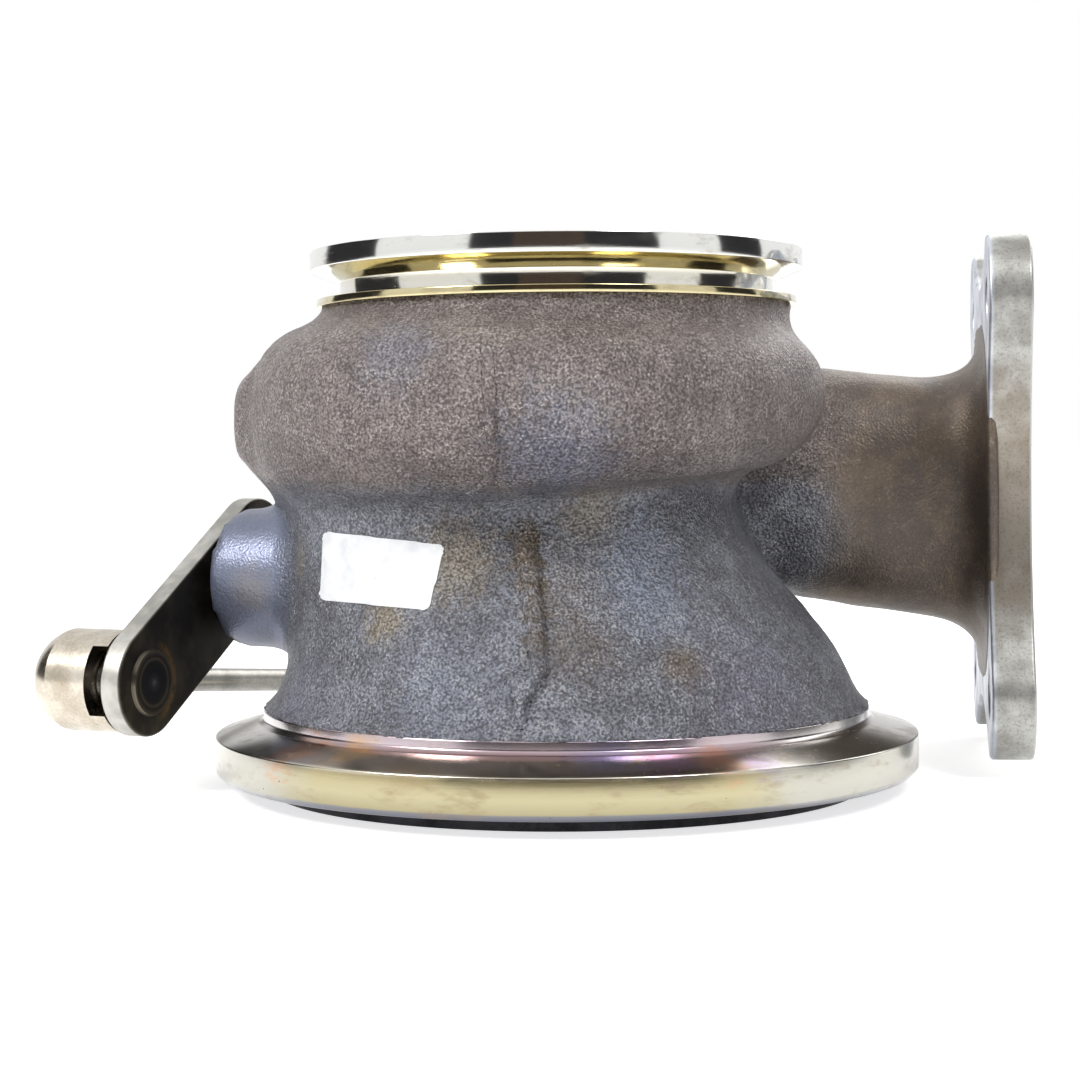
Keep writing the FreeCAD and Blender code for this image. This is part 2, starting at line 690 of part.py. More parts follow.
# ball stud riveted through the lever
PIN_ACROSS = "lever_length * cos( lever_drop )"
PIN_UP = "- lever_length * sin( lever_drop )"
stud_turning = turned("stud_turning", [
    ("0", "- lever_thickness - stud_head_height"),
    ("stud_head_radius - 0.3", "- lever_thickness - stud_head_height"),
    ("stud_head_radius", "- lever_thickness"),
    ("stud_radius", "- lever_thickness"),
    ("stud_radius", "stud_collar_height"),
    ("stud_neck_radius", "stud_collar_height"),
    ("stud_neck_radius", "ball_reach"),
    ("0", "ball_reach"),
], **on_shaft(PIN_ACROSS, PIN_UP, LEVER_BACK))
ball = bound(doc.addObject("Part::Sphere", "stud_ball"), Radius="ball_radius")
placed(ball, **on_shaft(PIN_ACROSS, PIN_UP, f"{LEVER_BACK} + ball_reach"))
ball_stud = fused("ball_stud_forging", [stud_turning, ball])

MOUTH = f"( {LEVER_BACK} + stud_collar_height + end_gap )"
BALL_LEVEL = f"( {LEVER_BACK} + ball_reach )"
CAVITY_RADIUS = "( ball_radius + running_clearance )"
DOME_SPHERE = "( ( socket_radius ^ 2 + dome_height ^ 2 ) / ( 2 * dome_height ) )"


def along_rod(distance, aside="0"):
    """Return how far a point on the rod's line lies across and up from the shaft."""
    across = f"( {PIN_ACROSS} - ( {distance} ) * cos( rod_slope ) + ( {aside} ) * sin( rod_slope ) )"
    up = f"( {PIN_UP} - ( {distance} ) * sin( rod_slope ) - ( {aside} ) * cos( rod_slope ) )"
    return across, up


def rod_piece(name, radius, length, start):
    """Add a cylinder along the rod's line, from a distance off the near ball."""
    place = shaft_point(*along_rod(start), out=BALL_LEVEL)
    place.update(yaw="shaft_bearing - 90", pitch="90 + rod_slope")
    return cylinder(name, radius, length, **place)


def make_socket(name, distance, facing):
    """Make a domed ball socket with its shank facing along the rod, mouth to the lever."""
    centre = along_rod(distance)
    turn = "- 180 - rod_slope" if facing > 0 else "- rod_slope"
    barrel = cylinder(
        f"{name}_barrel", "socket_radius", "socket_length", **on_shaft(*centre, MOUTH, turn),
    )
    dome = doc.addObject("Part::Sphere", f"{name}_dome")
    bound(dome, Radius=DOME_SPHERE, Angle1=f"asin( ( {DOME_SPHERE} - dome_height ) / {DOME_SPHERE} )")
    placed(dome, **on_shaft(*centre, f"{MOUTH} + socket_length + dome_height - {DOME_SPHERE}", turn))
    shank_start = distance if facing > 0 else f"{distance} - shank_reach"
    shank = rod_piece(f"{name}_shank", "shank_radius", "shank_reach", shank_start)
    cavity = cylinder(
        f"{name}_cavity", CAVITY_RADIUS, f"{BALL_LEVEL} - {MOUTH}", **on_shaft(*centre, MOUTH, turn),
    )
    ball_room = bound(doc.addObject("Part::Sphere", f"{name}_ball_room"), Radius=CAVITY_RADIUS)
    placed(ball_room, **on_shaft(*centre, BALL_LEVEL, turn))
    hole_start = "shank_reach - rod_engagement" if facing > 0 else f"{distance} - shank_reach - 1"
    hole = rod_piece(f"{name}_hole", "rod_radius + press_clearance", "rod_engagement + 1", hole_start)
    window_start = f"{distance} - socket_radius - 4" if facing > 0 else distance
    window = box(
        f"{name}_window", "socket_radius + 4", "window_width", "window_height + 1",
        **on_shaft(*along_rod(window_start, "- window_width / 2"), f"{MOUTH} - 1", "- 180 - rod_slope"),
    )
    slot_side = 1 if facing > 0 else -1
    slot_aside = f"{slot_side} * ( socket_radius - clip_slot_depth / 2 + 0.5 ) - clip_slot_depth / 2 - 0.5"
    slot = box(
        f"{name}_slot", "clip_slot_length", "clip_slot_depth + 1", "clip_slot_width",
        **on_shaft(
            *along_rod(f"{distance} - clip_slot_length / 2", slot_aside),
            f"{MOUTH} + socket_length - clip_slot_width * 2", "- 180 - rod_slope",
        ),
    )
    blank = fused(f"{name}_blank", [barrel, dome, shank])
    return cut(f"{name}_cast", blank, fused(f"{name}_cuts", [cavity, ball_room, hole, window, slot]))


def make_clip(name, distance, facing):
    """Make the open wire ring that keeps the ball in its socket."""
    turn = "- 180 - rod_slope" if facing > 0 else "- rod_slope"
    ring = doc.addObject("Part::Torus", f"{name}_ring")
    bound(ring, Radius1=f"{CAVITY_RADIUS} - clip_wire - press_clearance", Radius2="clip_wire")
    placed(ring, **on_shaft(*along_rod(distance), f"{MOUTH} + clip_level", turn))
    gap = box(
        f"{name}_gap", "ball_radius + 1", "clip_gap", "clip_wire * 2 + 1",
        **on_shaft(
            *along_rod(distance if facing > 0 else f"{distance} - ball_radius - 1", "- clip_gap / 2"),
            f"{MOUTH} + clip_level - clip_wire - 0.5", "- 180 - rod_slope",
        ),
    )
    return cut(f"{name}_wire", ring, gap)


near_socket = make_socket("near_socket", "0", 1)
far_socket = make_socket("far_socket", "rod_span", -1)
near_socket_clip = make_clip("near_socket_clip", "0", 1)
far_socket_clip = make_clip("far_socket_clip", "rod_span", -1)
ROD_START = "( shank_reach - rod_engagement + 0.5 )"
link_rod = rod_piece("link_rod_bar", "rod_radius", f"rod_span - 2 * {ROD_START}", ROD_START)
nut = doc.addObject("Part::Prism", "nut_prism")
bound(nut, Circumradius="nut_flats_radius", Height="nut_height")
NUT_START = "rod_span - shank_reach - press_clearance - nut_height"
nut_place = shaft_point(*along_rod(NUT_START), out=BALL_LEVEL)
nut_place.update(yaw="shaft_bearing - 90", pitch="90 + rod_slope")
placed(nut, **nut_place)
nut_hole = rod_piece("nut_hole", "rod_radius + press_clearance", "nut_height + 2", f"{NUT_START} - 1")
rod_jam_nut = cut("rod_jam_nut_hex", nut, nut_hole)

NODES = {
    "turbine_housing": turbine_housing,
    "wastegate_bush": wastegate_bush,
    "thrust_washer": thrust_washer,
    "swing_arm": swing_arm,
    "valve_disc": valve_disc,
    "valve_washer": valve_washer,
    "crank_lever": crank_lever,
    "lever_weld": lever_weld,
    "ball_stud": ball_stud,
    "near_socket": near_socket,
    "near_socket_clip": near_socket_clip,
    "link_rod": link_rod,
    "rod_jam_nut": rod_jam_nut,
    "far_socket": far_socket,
    "far_socket_clip": far_socket_clip,
}
for node, obj in NODES.items():
    obj.Label = node
doc.recompute()
for obj in doc.Objects:
    if "Invalid" in obj.State or "Error" in obj.State:
        raise RuntimeError(f"{obj.Name} could not be made: {obj.State}")
for node, obj in NODES.items():
    if obj.Shape.isNull() or not obj.Shape.isValid():
        raise RuntimeError(f"{node} has no sound shape")
    if len(obj.Shape.Solids) != 1:
        raise RuntimeError(f"{node} is {len(obj.Shape.Solids)} solids")
os.makedirs("parts", exist_ok=True)
for node, obj in NODES.items():
    obj.Shape.exportStep(f"parts/{node}.step")
    size = obj.Shape.BoundBox
    print(f"{node}: {obj.Shape.Volume:.1f} mm3, {size}")
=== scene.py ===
"""Looks of a turbocharger turbine housing with its built-in wastegate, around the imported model."""

import enum
import logging
import math
from dataclasses import dataclass, field
from typing import Optional, Sequence, Union

import bmesh
import bpy
import numpy as np
from mathutils import Matrix, Vector, noise
from mathutils.bvhtree import BVHTree

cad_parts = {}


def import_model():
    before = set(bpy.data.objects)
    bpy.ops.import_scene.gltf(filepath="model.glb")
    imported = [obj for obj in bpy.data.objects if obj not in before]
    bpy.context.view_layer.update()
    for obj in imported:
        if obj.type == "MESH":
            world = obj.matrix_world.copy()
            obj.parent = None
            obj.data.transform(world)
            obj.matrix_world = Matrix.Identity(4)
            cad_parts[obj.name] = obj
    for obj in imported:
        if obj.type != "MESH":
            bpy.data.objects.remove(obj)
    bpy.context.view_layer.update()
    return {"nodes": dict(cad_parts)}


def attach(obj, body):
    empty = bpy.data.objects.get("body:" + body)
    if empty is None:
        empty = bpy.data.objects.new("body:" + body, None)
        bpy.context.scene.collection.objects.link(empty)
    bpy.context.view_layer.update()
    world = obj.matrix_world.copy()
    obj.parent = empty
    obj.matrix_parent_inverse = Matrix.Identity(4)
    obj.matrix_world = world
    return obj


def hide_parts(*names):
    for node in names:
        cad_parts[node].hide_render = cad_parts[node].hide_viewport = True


LOG = logging.getLogger("turbine_housing")
MM = 0.001
PHOTO_SIDE = 1080
Colour = tuple[float, float, float]
Number = Union[float, "Field"]


def srgb(red: int, green: int, blue: int) -> Colour:
    """Turns a screen colour of 0 to 255 into the linear one that shaders take."""
    def linear(level: int) -> float:
        """Gives one channel's linear share."""
        share = level / 255
        return share / 12.92 if share <= 0.04045 else ((share + 0.055) / 1.055) ** 2.4
    return linear(red), linear(green), linear(blue)


# ---------------------------------------------------------------- shader arithmetic


@dataclass
class Field:
    """A socket whose value varies over a surface and takes part in Python arithmetic."""

    shader: "Wiring"
    socket: bpy.types.NodeSocket

    def __add__(self, other: Number) -> "Field":
        """Adds."""
        return self.shader.maths("ADD", self, other)

    def __sub__(self, other: Number) -> "Field":
        """Takes away."""
        return self.shader.maths("SUBTRACT", self, other)

    def __mul__(self, other: Number) -> "Field":
        """Multiplies."""
        return self.shader.maths("MULTIPLY", self, other)

    def __truediv__(self, other: Number) -> "Field":
        """Divides."""
        return self.shader.maths("DIVIDE", self, other)

    def __radd__(self, other: float) -> "Field":
        """Adds to a number."""
        return self.shader.maths("ADD", other, self)

    def __rsub__(self, other: float) -> "Field":
        """Takes away from a number."""
        return self.shader.maths("SUBTRACT", other, self)

    def __rmul__(self, other: float) -> "Field":
        """Multiplies a number."""
        return self.shader.maths("MULTIPLY", other, self)

    def sized(self) -> "Field":
        """Drops the sign."""
        return self.shader.maths("ABSOLUTE", self)

    def eased(self, low: float, high: float) -> "Field":
        """Eases from 0 at low to 1 at high; high may be the smaller.

        Args:
            low: The value that gives 0.
            high: The value that gives 1.

        Returns:
            The eased share.
        """
        node = self.shader.node(
            "ShaderNodeMapRange",
            {"interpolation_type": "SMOOTHSTEP", "clamp": True},
            {"Value": self, "From Min": min(low, high), "From Max": max(low, high)},
        )
        rising = Field(self.shader, node.outputs["Result"])
        return rising if high > low else 1 - rising


@dataclass
class Wiring:
    """A node tree and the ways to add to it."""

    tree: bpy.types.NodeTree

    def node(
        self, kind: str, settings: Optional[dict] = None, inputs: Optional[dict] = None
    ) -> bpy.types.Node:
        """Adds a node.

        Args:
            kind: The node's type.
            settings: Attributes to set first; stops gives a ramp its (place, colour) pairs.
            inputs: Values or links of its sockets, by name or index.

        Returns:
            The new node.
        """
        made = self.tree.nodes.new(kind)
        for attribute, value in (settings or {}).items():
            if attribute == "stops":
                self._set_stops(made.color_ramp, value)
            else:
                setattr(made, attribute, value)
        for socket, value in (inputs or {}).items():
            self.feed(made.inputs[socket], value)
        return made

    @staticmethod
    def _set_stops(ramp: bpy.types.ColorRamp, stops: Sequence[tuple[float, Colour]]) -> None:
        """Puts a ramp's stops in place."""
        while len(ramp.elements) < len(stops):
            ramp.elements.new(0.5)
        for element, (spot, colour) in zip(ramp.elements, stops):
            element.position = spot
            element.color = tuple(colour) + (1.0,)

    def feed(self, socket: bpy.types.NodeSocket, value: Union[Number, Colour]) -> None:
        """Links a field to a socket, or sets the socket's own value."""
        if isinstance(value, Field):
            self.tree.links.new(value.socket, socket)
        elif isinstance(value, tuple) and socket.type == "RGBA":
            socket.default_value = tuple(value) + (1.0,)
        else:
            socket.default_value = value

    def maths(self, operation: str, *values: Number) -> Field:
        """Adds a Math node on its values."""
        node = self.node("ShaderNodeMath", {"operation": operation}, dict(enumerate(values)))
        return Field(self, node.outputs[0])

    def seen_by(self, *rays: str) -> Field:
        """Gives 1 to rays of the named kinds and 0 to all others."""
        path = self.node("ShaderNodeLightPath")
        seen: Number = 0.0
        for ray in rays:
            seen = self.maths("MAXIMUM", seen, Field(self, path.outputs[f"Is {ray} Ray"]))
        return seen


class Shader(Wiring):
    """A material's node tree with its one surface shader."""

    def __init__(self, name: str, **fixed: Union[float, Colour]) -> None:
        """Starts a material.

        Args:
            name: The material's name.
            fixed: Uniform values, set on the shader's own sockets; an underscore stands for a space.
        """
        self.material = bpy.data.materials.new(name)
        self.material.use_nodes = True
        super().__init__(self.material.node_tree)
        self.surface = self.tree.nodes["Principled BSDF"]
        for socket, value in fixed.items():
            shown = tuple(value) + (1.0,) if isinstance(value, tuple) else value
            self.surface.inputs[socket.replace("_", " ")].default_value = shown
        coordinates = self.node("ShaderNodeTexCoord")
        self.place = Field(self, coordinates.outputs["Object"])

    def along(self, direction: Vector) -> Field:
        """Measures the place along a direction, in metres."""
        node = self.node(
            "ShaderNodeVectorMath", {"operation": "DOT_PRODUCT"}, {0: self.place, 1: tuple(direction)}
        )
        return Field(self, node.outputs["Value"])

    def distance(self, spot: Vector) -> Field:
        """Measures the distance from a spot, in metres."""
        node = self.node("ShaderNodeVectorMath", {"operation": "DISTANCE"}, {0: self.place, 1: tuple(spot)})
        return Field(self, node.outputs["Value"])

    def from_line(self, spot: Vector, direction: Vector) -> Field:
        """Measures the distance from a line through a spot, in metres."""
        apart = self.node("ShaderNodeVectorMath", {"operation": "SUBTRACT"}, {0: self.place, 1: tuple(spot)})
        cross = self.node(
            "ShaderNodeVectorMath", {"operation": "CROSS_PRODUCT"},
            {0: Field(self, apart.outputs["Vector"]), 1: tuple(direction)},
        )
        length = self.node(
            "ShaderNodeVectorMath", {"operation": "LENGTH"}, {0: Field(self, cross.outputs["Vector"])}
        )
        return Field(self, length.outputs["Value"])

    def drawn_out(self, x: float, y: float, z: float) -> Field:
        """Scales the place by axis, for patterns drawn out in one direction."""
        node = self.node("ShaderNodeMapping", {}, {"Vector": self.place, "Scale": (x, y, z)})
        return Field(self, node.outputs[0])

    def clouds(
        self, size: float, detail: float = 2.0, rough: float = 0.5, place: Optional[Field] = None
    ) -> Field:
        """Adds a noise.

        Args:
            size: The size of its features in metres.
            detail: How many finer layers it has.
            rough: How strong the finer layers are.
            place: The coordinates, the object's own if none.

        Returns:
            A field of about 0.5.
        """
        node = self.node(
            "ShaderNodeTexNoise", {},
            {"Vector": place or self.place, "Scale": 1 / size, "Detail": detail, "Roughness": rough},
        )
        return Field(self, node.outputs["Fac"])

    def cells(self, size: float) -> Field:
        """Measures the distance from the nearest of scattered points, about a size apart."""
        node = self.node("ShaderNodeTexVoronoi", {}, {"Vector": self.place, "Scale": 1 / size})
        return Field(self, node.outputs["Distance"])

    def ramp(self, share: Field, *stops: tuple[float, Colour]) -> Field:
        """Colours a share by a ramp's stops."""
        node = self.node("ShaderNodeValToRGB", {"stops": stops}, {"Fac": share})
        return Field(self, node.outputs["Color"])

    def mixed(self, share: Number, first: Union[Field, Colour], second: Union[Field, Colour]) -> Field:
        """Mixes two colours."""
        node = self.node(
            "ShaderNodeMix", {"data_type": "RGBA"}, {"Factor": share, 6: first, 7: second}
        )
        return Field(self, node.outputs[2])

    def patched(self, body: Field, patches: Sequence["Patch"], ragged: Field, edge: float) -> Field:
        """Lays patches of other colours over a body colour.

        Args:
            body: The colour under them.
            patches: The patches.
            ragged: An uneven field of about 0 that breaks their outlines.
            edge: How many of its sizes from its spot a patch ends.

        Returns:
            The colour with its patches.
        """
        for patch in patches:
            reach = self.distance(patch.spot) / (patch.size * MM) + ragged
            body = self.mixed(reach.eased(edge, 0.2) * patch.share, body, patch.colour)
        return body

    def bump(self, height: Field, depth: float, strength: float = 1.0) -> Field:
        """Turns a height of 0 to 1 into a normal, with its full depth in metres."""
        node = self.node("ShaderNodeBump", {}, {"Height": height, "Distance": depth, "Strength": strength})
        return Field(self, node.outputs["Normal"])

    def wear(self, **varied: Field) -> bpy.types.Material:
        """Feeds the surface's varied sockets and gives the finished material."""
        for socket, value in varied.items():
            self.feed(self.surface.inputs[socket.replace("_", " ")], value)
        return self.material


# ---------------------------------------------------------------- meshes


def new_piece(
    name: str, mesh: bpy.types.Mesh, material: Optional[bpy.types.Material] = None
) -> bpy.types.Object:
    """Puts a mesh in the scene as a cast piece of the housing, on which every new piece rides.

    Args:
        name: The piece's name.
        mesh: Its finished mesh, in place.
        material: Its finish, if it is known yet.

    Returns:
        The new object.
    """
    piece = bpy.data.objects.new(name, mesh)
    bpy.context.scene.collection.objects.link(piece)
    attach(piece, "housing")
    if material:
        mesh.materials.append(material)
    LOG.info("%s: %d faces", name, len(mesh.polygons))
    return piece


def to_mesh(form: bmesh.types.BMesh, name: str, sharp: float = 35.0) -> bpy.types.Mesh:
    """Makes a mesh of a form, smooth but for edges sharper than an angle in degrees."""
    bmesh.ops.recalc_face_normals(form, faces=form.faces)
    for face in form.faces:
        face.smooth = True
    for edge in form.edges:
        edge.smooth = len(edge.link_faces) == 2 and edge.calc_face_angle() < math.radians(sharp)
    mesh = bpy.data.meshes.new(name)
    form.to_mesh(mesh)
    form.free()
    return mesh


def spun(
    name: str, profile: Sequence[tuple[float, float]], edge: float, steps: int, axis_x: float = 0.0
) -> bpy.types.Mesh:
    """Turns a closed profile about an upright axis, with its corners rounded.

    Args:
        name: The mesh's name.
        profile: Its (radius, height) corners in mm.
        edge: The size of the rounded corners in mm.
        steps: How many steps a full turn has.
        axis_x: How far along X the axis stands, in mm.

    Returns:
        The ring's mesh.
    """
    form = bmesh.new()
    corners = [form.verts.new((radius * MM, 0, height * MM)) for radius, height in profile]
    for index, corner in enumerate(corners):
        form.edges.new((corners[index - 1], corner))
    bmesh.ops.bevel(
        form, geom=corners, offset=edge * MM, affect="VERTICES", segments=3, profile=0.5, material=-1,
        clamp_overlap=True,
    )
    bmesh.ops.spin(
        form, geom=list(form.verts) + list(form.edges), axis=(0, 0, 1), cent=(0, 0, 0), steps=steps,
        angle=math.tau, use_merge=True,
    )
    bmesh.ops.remove_doubles(form, verts=form.verts, dist=1e-7)
    bmesh.ops.translate(form, vec=(axis_x * MM, 0, 0), verts=form.verts)
    return to_mesh(form, name)


# ---------------------------------------------------------------- the wastegate shaft's own directions


@dataclass(frozen=True)
class ShaftFrame:
    """The wastegate shaft's line, from which its pieces are placed."""

    bearing: float = 162.8
    offset: float = 13.7
    level: float = 35.1

    @property
    def out(self) -> Vector:
        """Points outwards along the shaft."""
        turn = math.radians(self.bearing)
        return Vector((math.cos(turn), math.sin(turn), 0))

    @property
    def across(self) -> Vector:
        """Points level from the shaft towards the link pin."""
        return Vector((-self.out.y, self.out.x, 0))

    def at(self, across: float, up: float, out: float) -> Vector:
        """Gives a point in metres from its distances in mm."""
        spot = self.out * out + self.across * (across + self.offset) + Vector((0, 0, self.level + up))
        return spot * MM

    def from_axis(self, spots: np.ndarray) -> np.ndarray:
        """Measures points' distances from the shaft's line, all in mm."""
        apart = spots - np.array(self.at(0, 0, 0) / MM)
        return np.linalg.norm(np.cross(apart, np.array(self.out)), axis=1)


SHAFT = ShaftFrame()
WHEEL_X = -1.2


# ---------------------------------------------------------------- finishes


@dataclass(frozen=True)
class Patch:
    """A patch of another colour about a spot, with its size in mm."""

    spot: Vector
    size: float
    colour: Colour
    share: float


@dataclass(frozen=True)
class Tint:
    """A patch of another colour, seen at a pixel of the photograph."""

    pixel: tuple[float, float]
    size: float
    colour: Colour
    share: float

    def laid(self, surface: "Surface", view: "View") -> Patch:
        """Finds where on the casting the patch lies."""
        return Patch(surface.seen(view, *self.pixel)[0], self.size, self.colour, self.share)


@dataclass(frozen=True)
class SandCast:
    """Sand-cast heat-resisting steel: fine glittering grain with painted glints on its peaks and painted
    shade in its hollows, warm on the scroll and blue-grey on the bell.
    """

    patches: tuple[Patch, ...]
    scroll: Colour = srgb(120, 111, 109)
    scroll_pale: Colour = srgb(142, 133, 130)
    bell: Colour = srgb(112, 113, 121)
    bell_pale: Colour = srgb(140, 144, 154)
    duct: Colour = srgb(98, 88, 81)
    duct_warm: Colour = srgb(118, 104, 90)
    boss: Colour = srgb(116, 122, 142)
    # Colour of the painted shade laid in the grain's hollows.
    dark: Colour = srgb(50, 45, 44)
    # Colour of the painted glints laid on the grain's peaks.
    pale: Colour = srgb(206, 200, 194)
    grain: float = 0.5 * MM
    crease_level: float = 51.0 * MM

    def material(self) -> bpy.types.Material:
        """Builds the material."""
        shader = Shader("sand_cast_steel", Metallic=0.5)
        height = shader.along(Vector((0, 0, 1)))
        x = shader.along(Vector((1, 0, 0)))
        y = shader.along(Vector((0, 1, 0)))
        drift = shader.clouds(13 * MM, 3, 0.55)
        mottle = shader.clouds(2.6 * MM, 4, 0.6)
        fine = shader.clouds(self.grain * 0.8, 2, 0.6)
        grains = shader.cells(self.grain)
        scroll = (height + (drift - 0.5) * 6 * MM).eased(
            self.crease_level - 2 * MM, self.crease_level + 2.5 * MM
        )
        duct = (x + (y - 25 * MM) * 0.6 + (drift - 0.5) * 8 * MM).eased(36 * MM, 50 * MM)
        boss = shader.from_line(SHAFT.at(0, 0, 0), SHAFT.out).eased(14.5 * MM, 12.9 * MM)
        boss = boss * shader.along(SHAFT.out).eased(36 * MM, 44 * MM)
        rough = (1 - duct * 0.8) * (1 - boss * 0.85)
        wide = (drift * 0.6 + mottle * 0.4).eased(0.4, 0.62)
        warm = shader.mixed(wide, self.scroll, self.scroll_pale)
        cool = shader.mixed(wide, self.bell, self.bell_pale)
        body = shader.mixed(scroll, cool, warm)
        body = shader.mixed(duct, body, shader.mixed(wide, self.duct, self.duct_warm))
        body = shader.mixed(boss, body, self.boss)
        ragged = (shader.clouds(2.2 * MM, 4, 0.7) - 0.5) * 1.8 + (fine - 0.5) * 0.7
        body = shader.patched(body, self.patches, ragged, 1.15)
        relief = (1 - grains) * 0.3 + fine * 0.7
        # Darker where the grain's relief is low: painted shade in its hollows.
        body = shader.mixed(relief.eased(0.53, 0.4) * rough * 0.62, body, self.dark)
        # Lighter specks on the grain's peaks, with lower roughness there: painted glints.
        painted_glints = relief.eased(0.54, 0.66) * (0.3 + mottle.eased(0.42, 0.58) * 0.7)
        body = shader.mixed(painted_glints * rough * 0.5, body, self.pale)
        return shader.wear(
            Base_Color=body,
            Roughness=0.44 - painted_glints * rough * 0.12 - boss * 0.1,
            Normal=shader.bump((relief + mottle * 0.5) * rough + drift * 0.2, 0.75 * MM, 1.0),
        )


@dataclass(frozen=True)
class Turned:
    """Turned and polished steel with faint tool lines, tinted in bands and patches by heat."""

    name: str
    bands: tuple[tuple[float, Colour], ...]
    low: float
    high: float
    roughness: float
    plain: Colour
    plain_from: float
    patches: tuple[Patch, ...] = ()
    pitted: float = 0.7

    def material(self) -> bpy.types.Material:
        """Builds the material, its bands run from the low to the high level in mm."""
        shader = Shader(self.name, Metallic=1.0)
        height = shader.along(Vector((0, 0, 1)))
        drift = shader.clouds(9 * MM, 3, 0.55)
        share = (height - self.low * MM) / ((self.high - self.low) * MM) + (drift - 0.5) * 0.03
        body = shader.ramp(share, *self.bands)
        from_front = shader.along(Vector((1, 0, 0))).sized() + (drift - 0.5) * 12 * MM
        sides = from_front.eased(self.plain_from * MM, (self.plain_from + 14) * MM)
        body = shader.mixed(sides * height.eased(self.low * MM, (self.low + 1) * MM) * 0.75, body, self.plain)
        level_place = shader.drawn_out(1, 1, 3)
        ragged = (shader.clouds(3 * MM, 4, 0.65, level_place) - 0.5) * 1.5
        body = shader.patched(body, self.patches, ragged, 1.0)
        smears = shader.clouds(7 * MM, 4, 0.65, level_place).eased(0.5, 0.7)
        body = shader.mixed(smears * 0.3, body, srgb(142, 122, 90))
        pits = shader.cells(1.5 * MM).eased(0.13, 0.05) * shader.clouds(8 * MM, 2).eased(0.54, 0.64)
        body = shader.mixed(pits * self.pitted, body, srgb(70, 60, 48))
        tool = shader.clouds(0.16 * MM, 2, 0.5, shader.drawn_out(0.02, 0.02, 1))
        return shader.wear(
            Base_Color=body,
            Roughness=self.roughness + smears * 0.08 + pits * 0.3,
            Normal=shader.bump(tool * 0.5 - pits * 0.5, 0.01 * MM, 0.5),
        )


@dataclass(frozen=True)
class Worked:
    """Plain worked steel: brushed or forged, with stains and darker hollows."""

    name: str
    dark: Colour
    light: Colour
    stain: Colour
    stain_share: float
    roughness: float
    metallic: float = 0.9
    grain: float = 0.5 * MM
    depth: float = 0.02 * MM
    patch: float = 6 * MM

    def material(self) -> bpy.types.Material:
        """Builds the material."""
        shader = Shader(self.name, Metallic=self.metallic)
        fine = shader.clouds(self.grain, 3, 0.6)
        drift = shader.clouds(self.patch, 3, 0.55)
        body = shader.mixed((fine * 0.3 + drift * 0.7).eased(0.36, 0.64), self.dark, self.light)
        stains = shader.clouds(self.patch * 0.7, 4, 0.65).eased(0.54, 0.7)
        body = shader.mixed(stains * self.stain_share, body, self.stain)
        return shader.wear(
            Base_Color=body,
            Roughness=self.roughness + (drift - 0.5) * 0.12 + stains * 0.08,
            Normal=shader.bump(fine, self.depth, 0.8),
        )


@dataclass(frozen=True)
class FlangePlate:
    """The inlet flange: satin grey with brown in the middle of its side and a milled outer face."""

    level: float
    back: float
    front: float

    def material(self) -> bpy.types.Material:
        """Builds the material."""
        shader = Shader("inlet_flange_steel", Metallic=0.75)
        x = shader.along(Vector((1, 0, 0)))
        off_middle = (shader.along(Vector((0, 0, 1))) - self.level * MM).sized()
        drift = shader.clouds(9 * MM, 4, 0.6)
        fine = shader.clouds(0.45 * MM, 3, 0.6)
        side = shader.mixed(drift.eased(0.38, 0.62), srgb(150, 149, 144), srgb(184, 184, 180))
        brown = (off_middle + (drift - 0.5) * 20 * MM).eased(30 * MM, 8 * MM)
        side = shader.mixed(brown * 0.6, side, srgb(134, 118, 98))
        side = shader.mixed(fine.eased(0.5, 0.36) * 0.35, side, srgb(96, 92, 86))
        back = shader.mixed(drift.eased(0.4, 0.6), srgb(176, 180, 190), srgb(214, 218, 226))
        milled = shader.clouds(0.3 * MM, 2, 0.5, shader.drawn_out(1, 1, 0.05))
        face = shader.mixed(milled, srgb(160, 160, 158), srgb(206, 205, 202))
        body = shader.mixed(x.eased((self.back + 1.1) * MM, (self.back + 0.3) * MM), side, back)
        body = shader.mixed(x.eased((self.front - 0.5) * MM, (self.front - 0.1) * MM), body, face)
        return shader.wear(
            Base_Color=body,
            Roughness=0.42 - (drift - 0.5) * 0.15,
            Normal=shader.bump(fine * 0.7 + drift * 0.3, 0.05 * MM, 0.7),
        )


@dataclass(frozen=True)
class LeverFinish:
    """The crank lever: near-black bronze faces, satin worn edges and a rusty arc beside the stud."""

    face_level: float
    back_level: float
    stud: Vector

    def material(self) -> bpy.types.Material:
        """Builds the material."""
        shader = Shader("lever_steel", Metallic=0.9)
        out = shader.along(SHAFT.out)
        fine = shader.clouds(0.3 * MM, 3, 0.6)
        drift = shader.clouds(7 * MM, 3, 0.6)
        outer = out.eased((self.back_level - 0.5) * MM, (self.back_level - 0.1) * MM)
        inner = out.eased((self.face_level + 0.5) * MM, (self.face_level + 0.1) * MM)
        dark = shader.mixed(drift.eased(0.38, 0.65), srgb(58, 54, 48), srgb(84, 78, 66))
        edge = shader.mixed(drift.eased(0.35, 0.65), srgb(156, 154, 148), srgb(196, 194, 188))
        from_stud = shader.from_line(self.stud, SHAFT.out)
        sideways = shader.along(-SHAFT.across) + SHAFT.across.dot(self.stud)
        arc = from_stud.eased(5.6 * MM, 6.2 * MM) * from_stud.eased(7.6 * MM, 6.6 * MM)
        arc = arc * sideways.eased(1 * MM, 5 * MM) * shader.clouds(2 * MM, 3, 0.6).eased(0.36, 0.5)
        dark = shader.mixed(arc * 0.8, dark, srgb(142, 112, 66))
        body = shader.mixed(outer + inner, edge, dark)
        return shader.wear(
            Base_Color=body,
            Roughness=0.34 + drift * 0.1 + fine * 0.06,
            Normal=shader.bump(fine, 0.012 * MM, 0.6),
        )


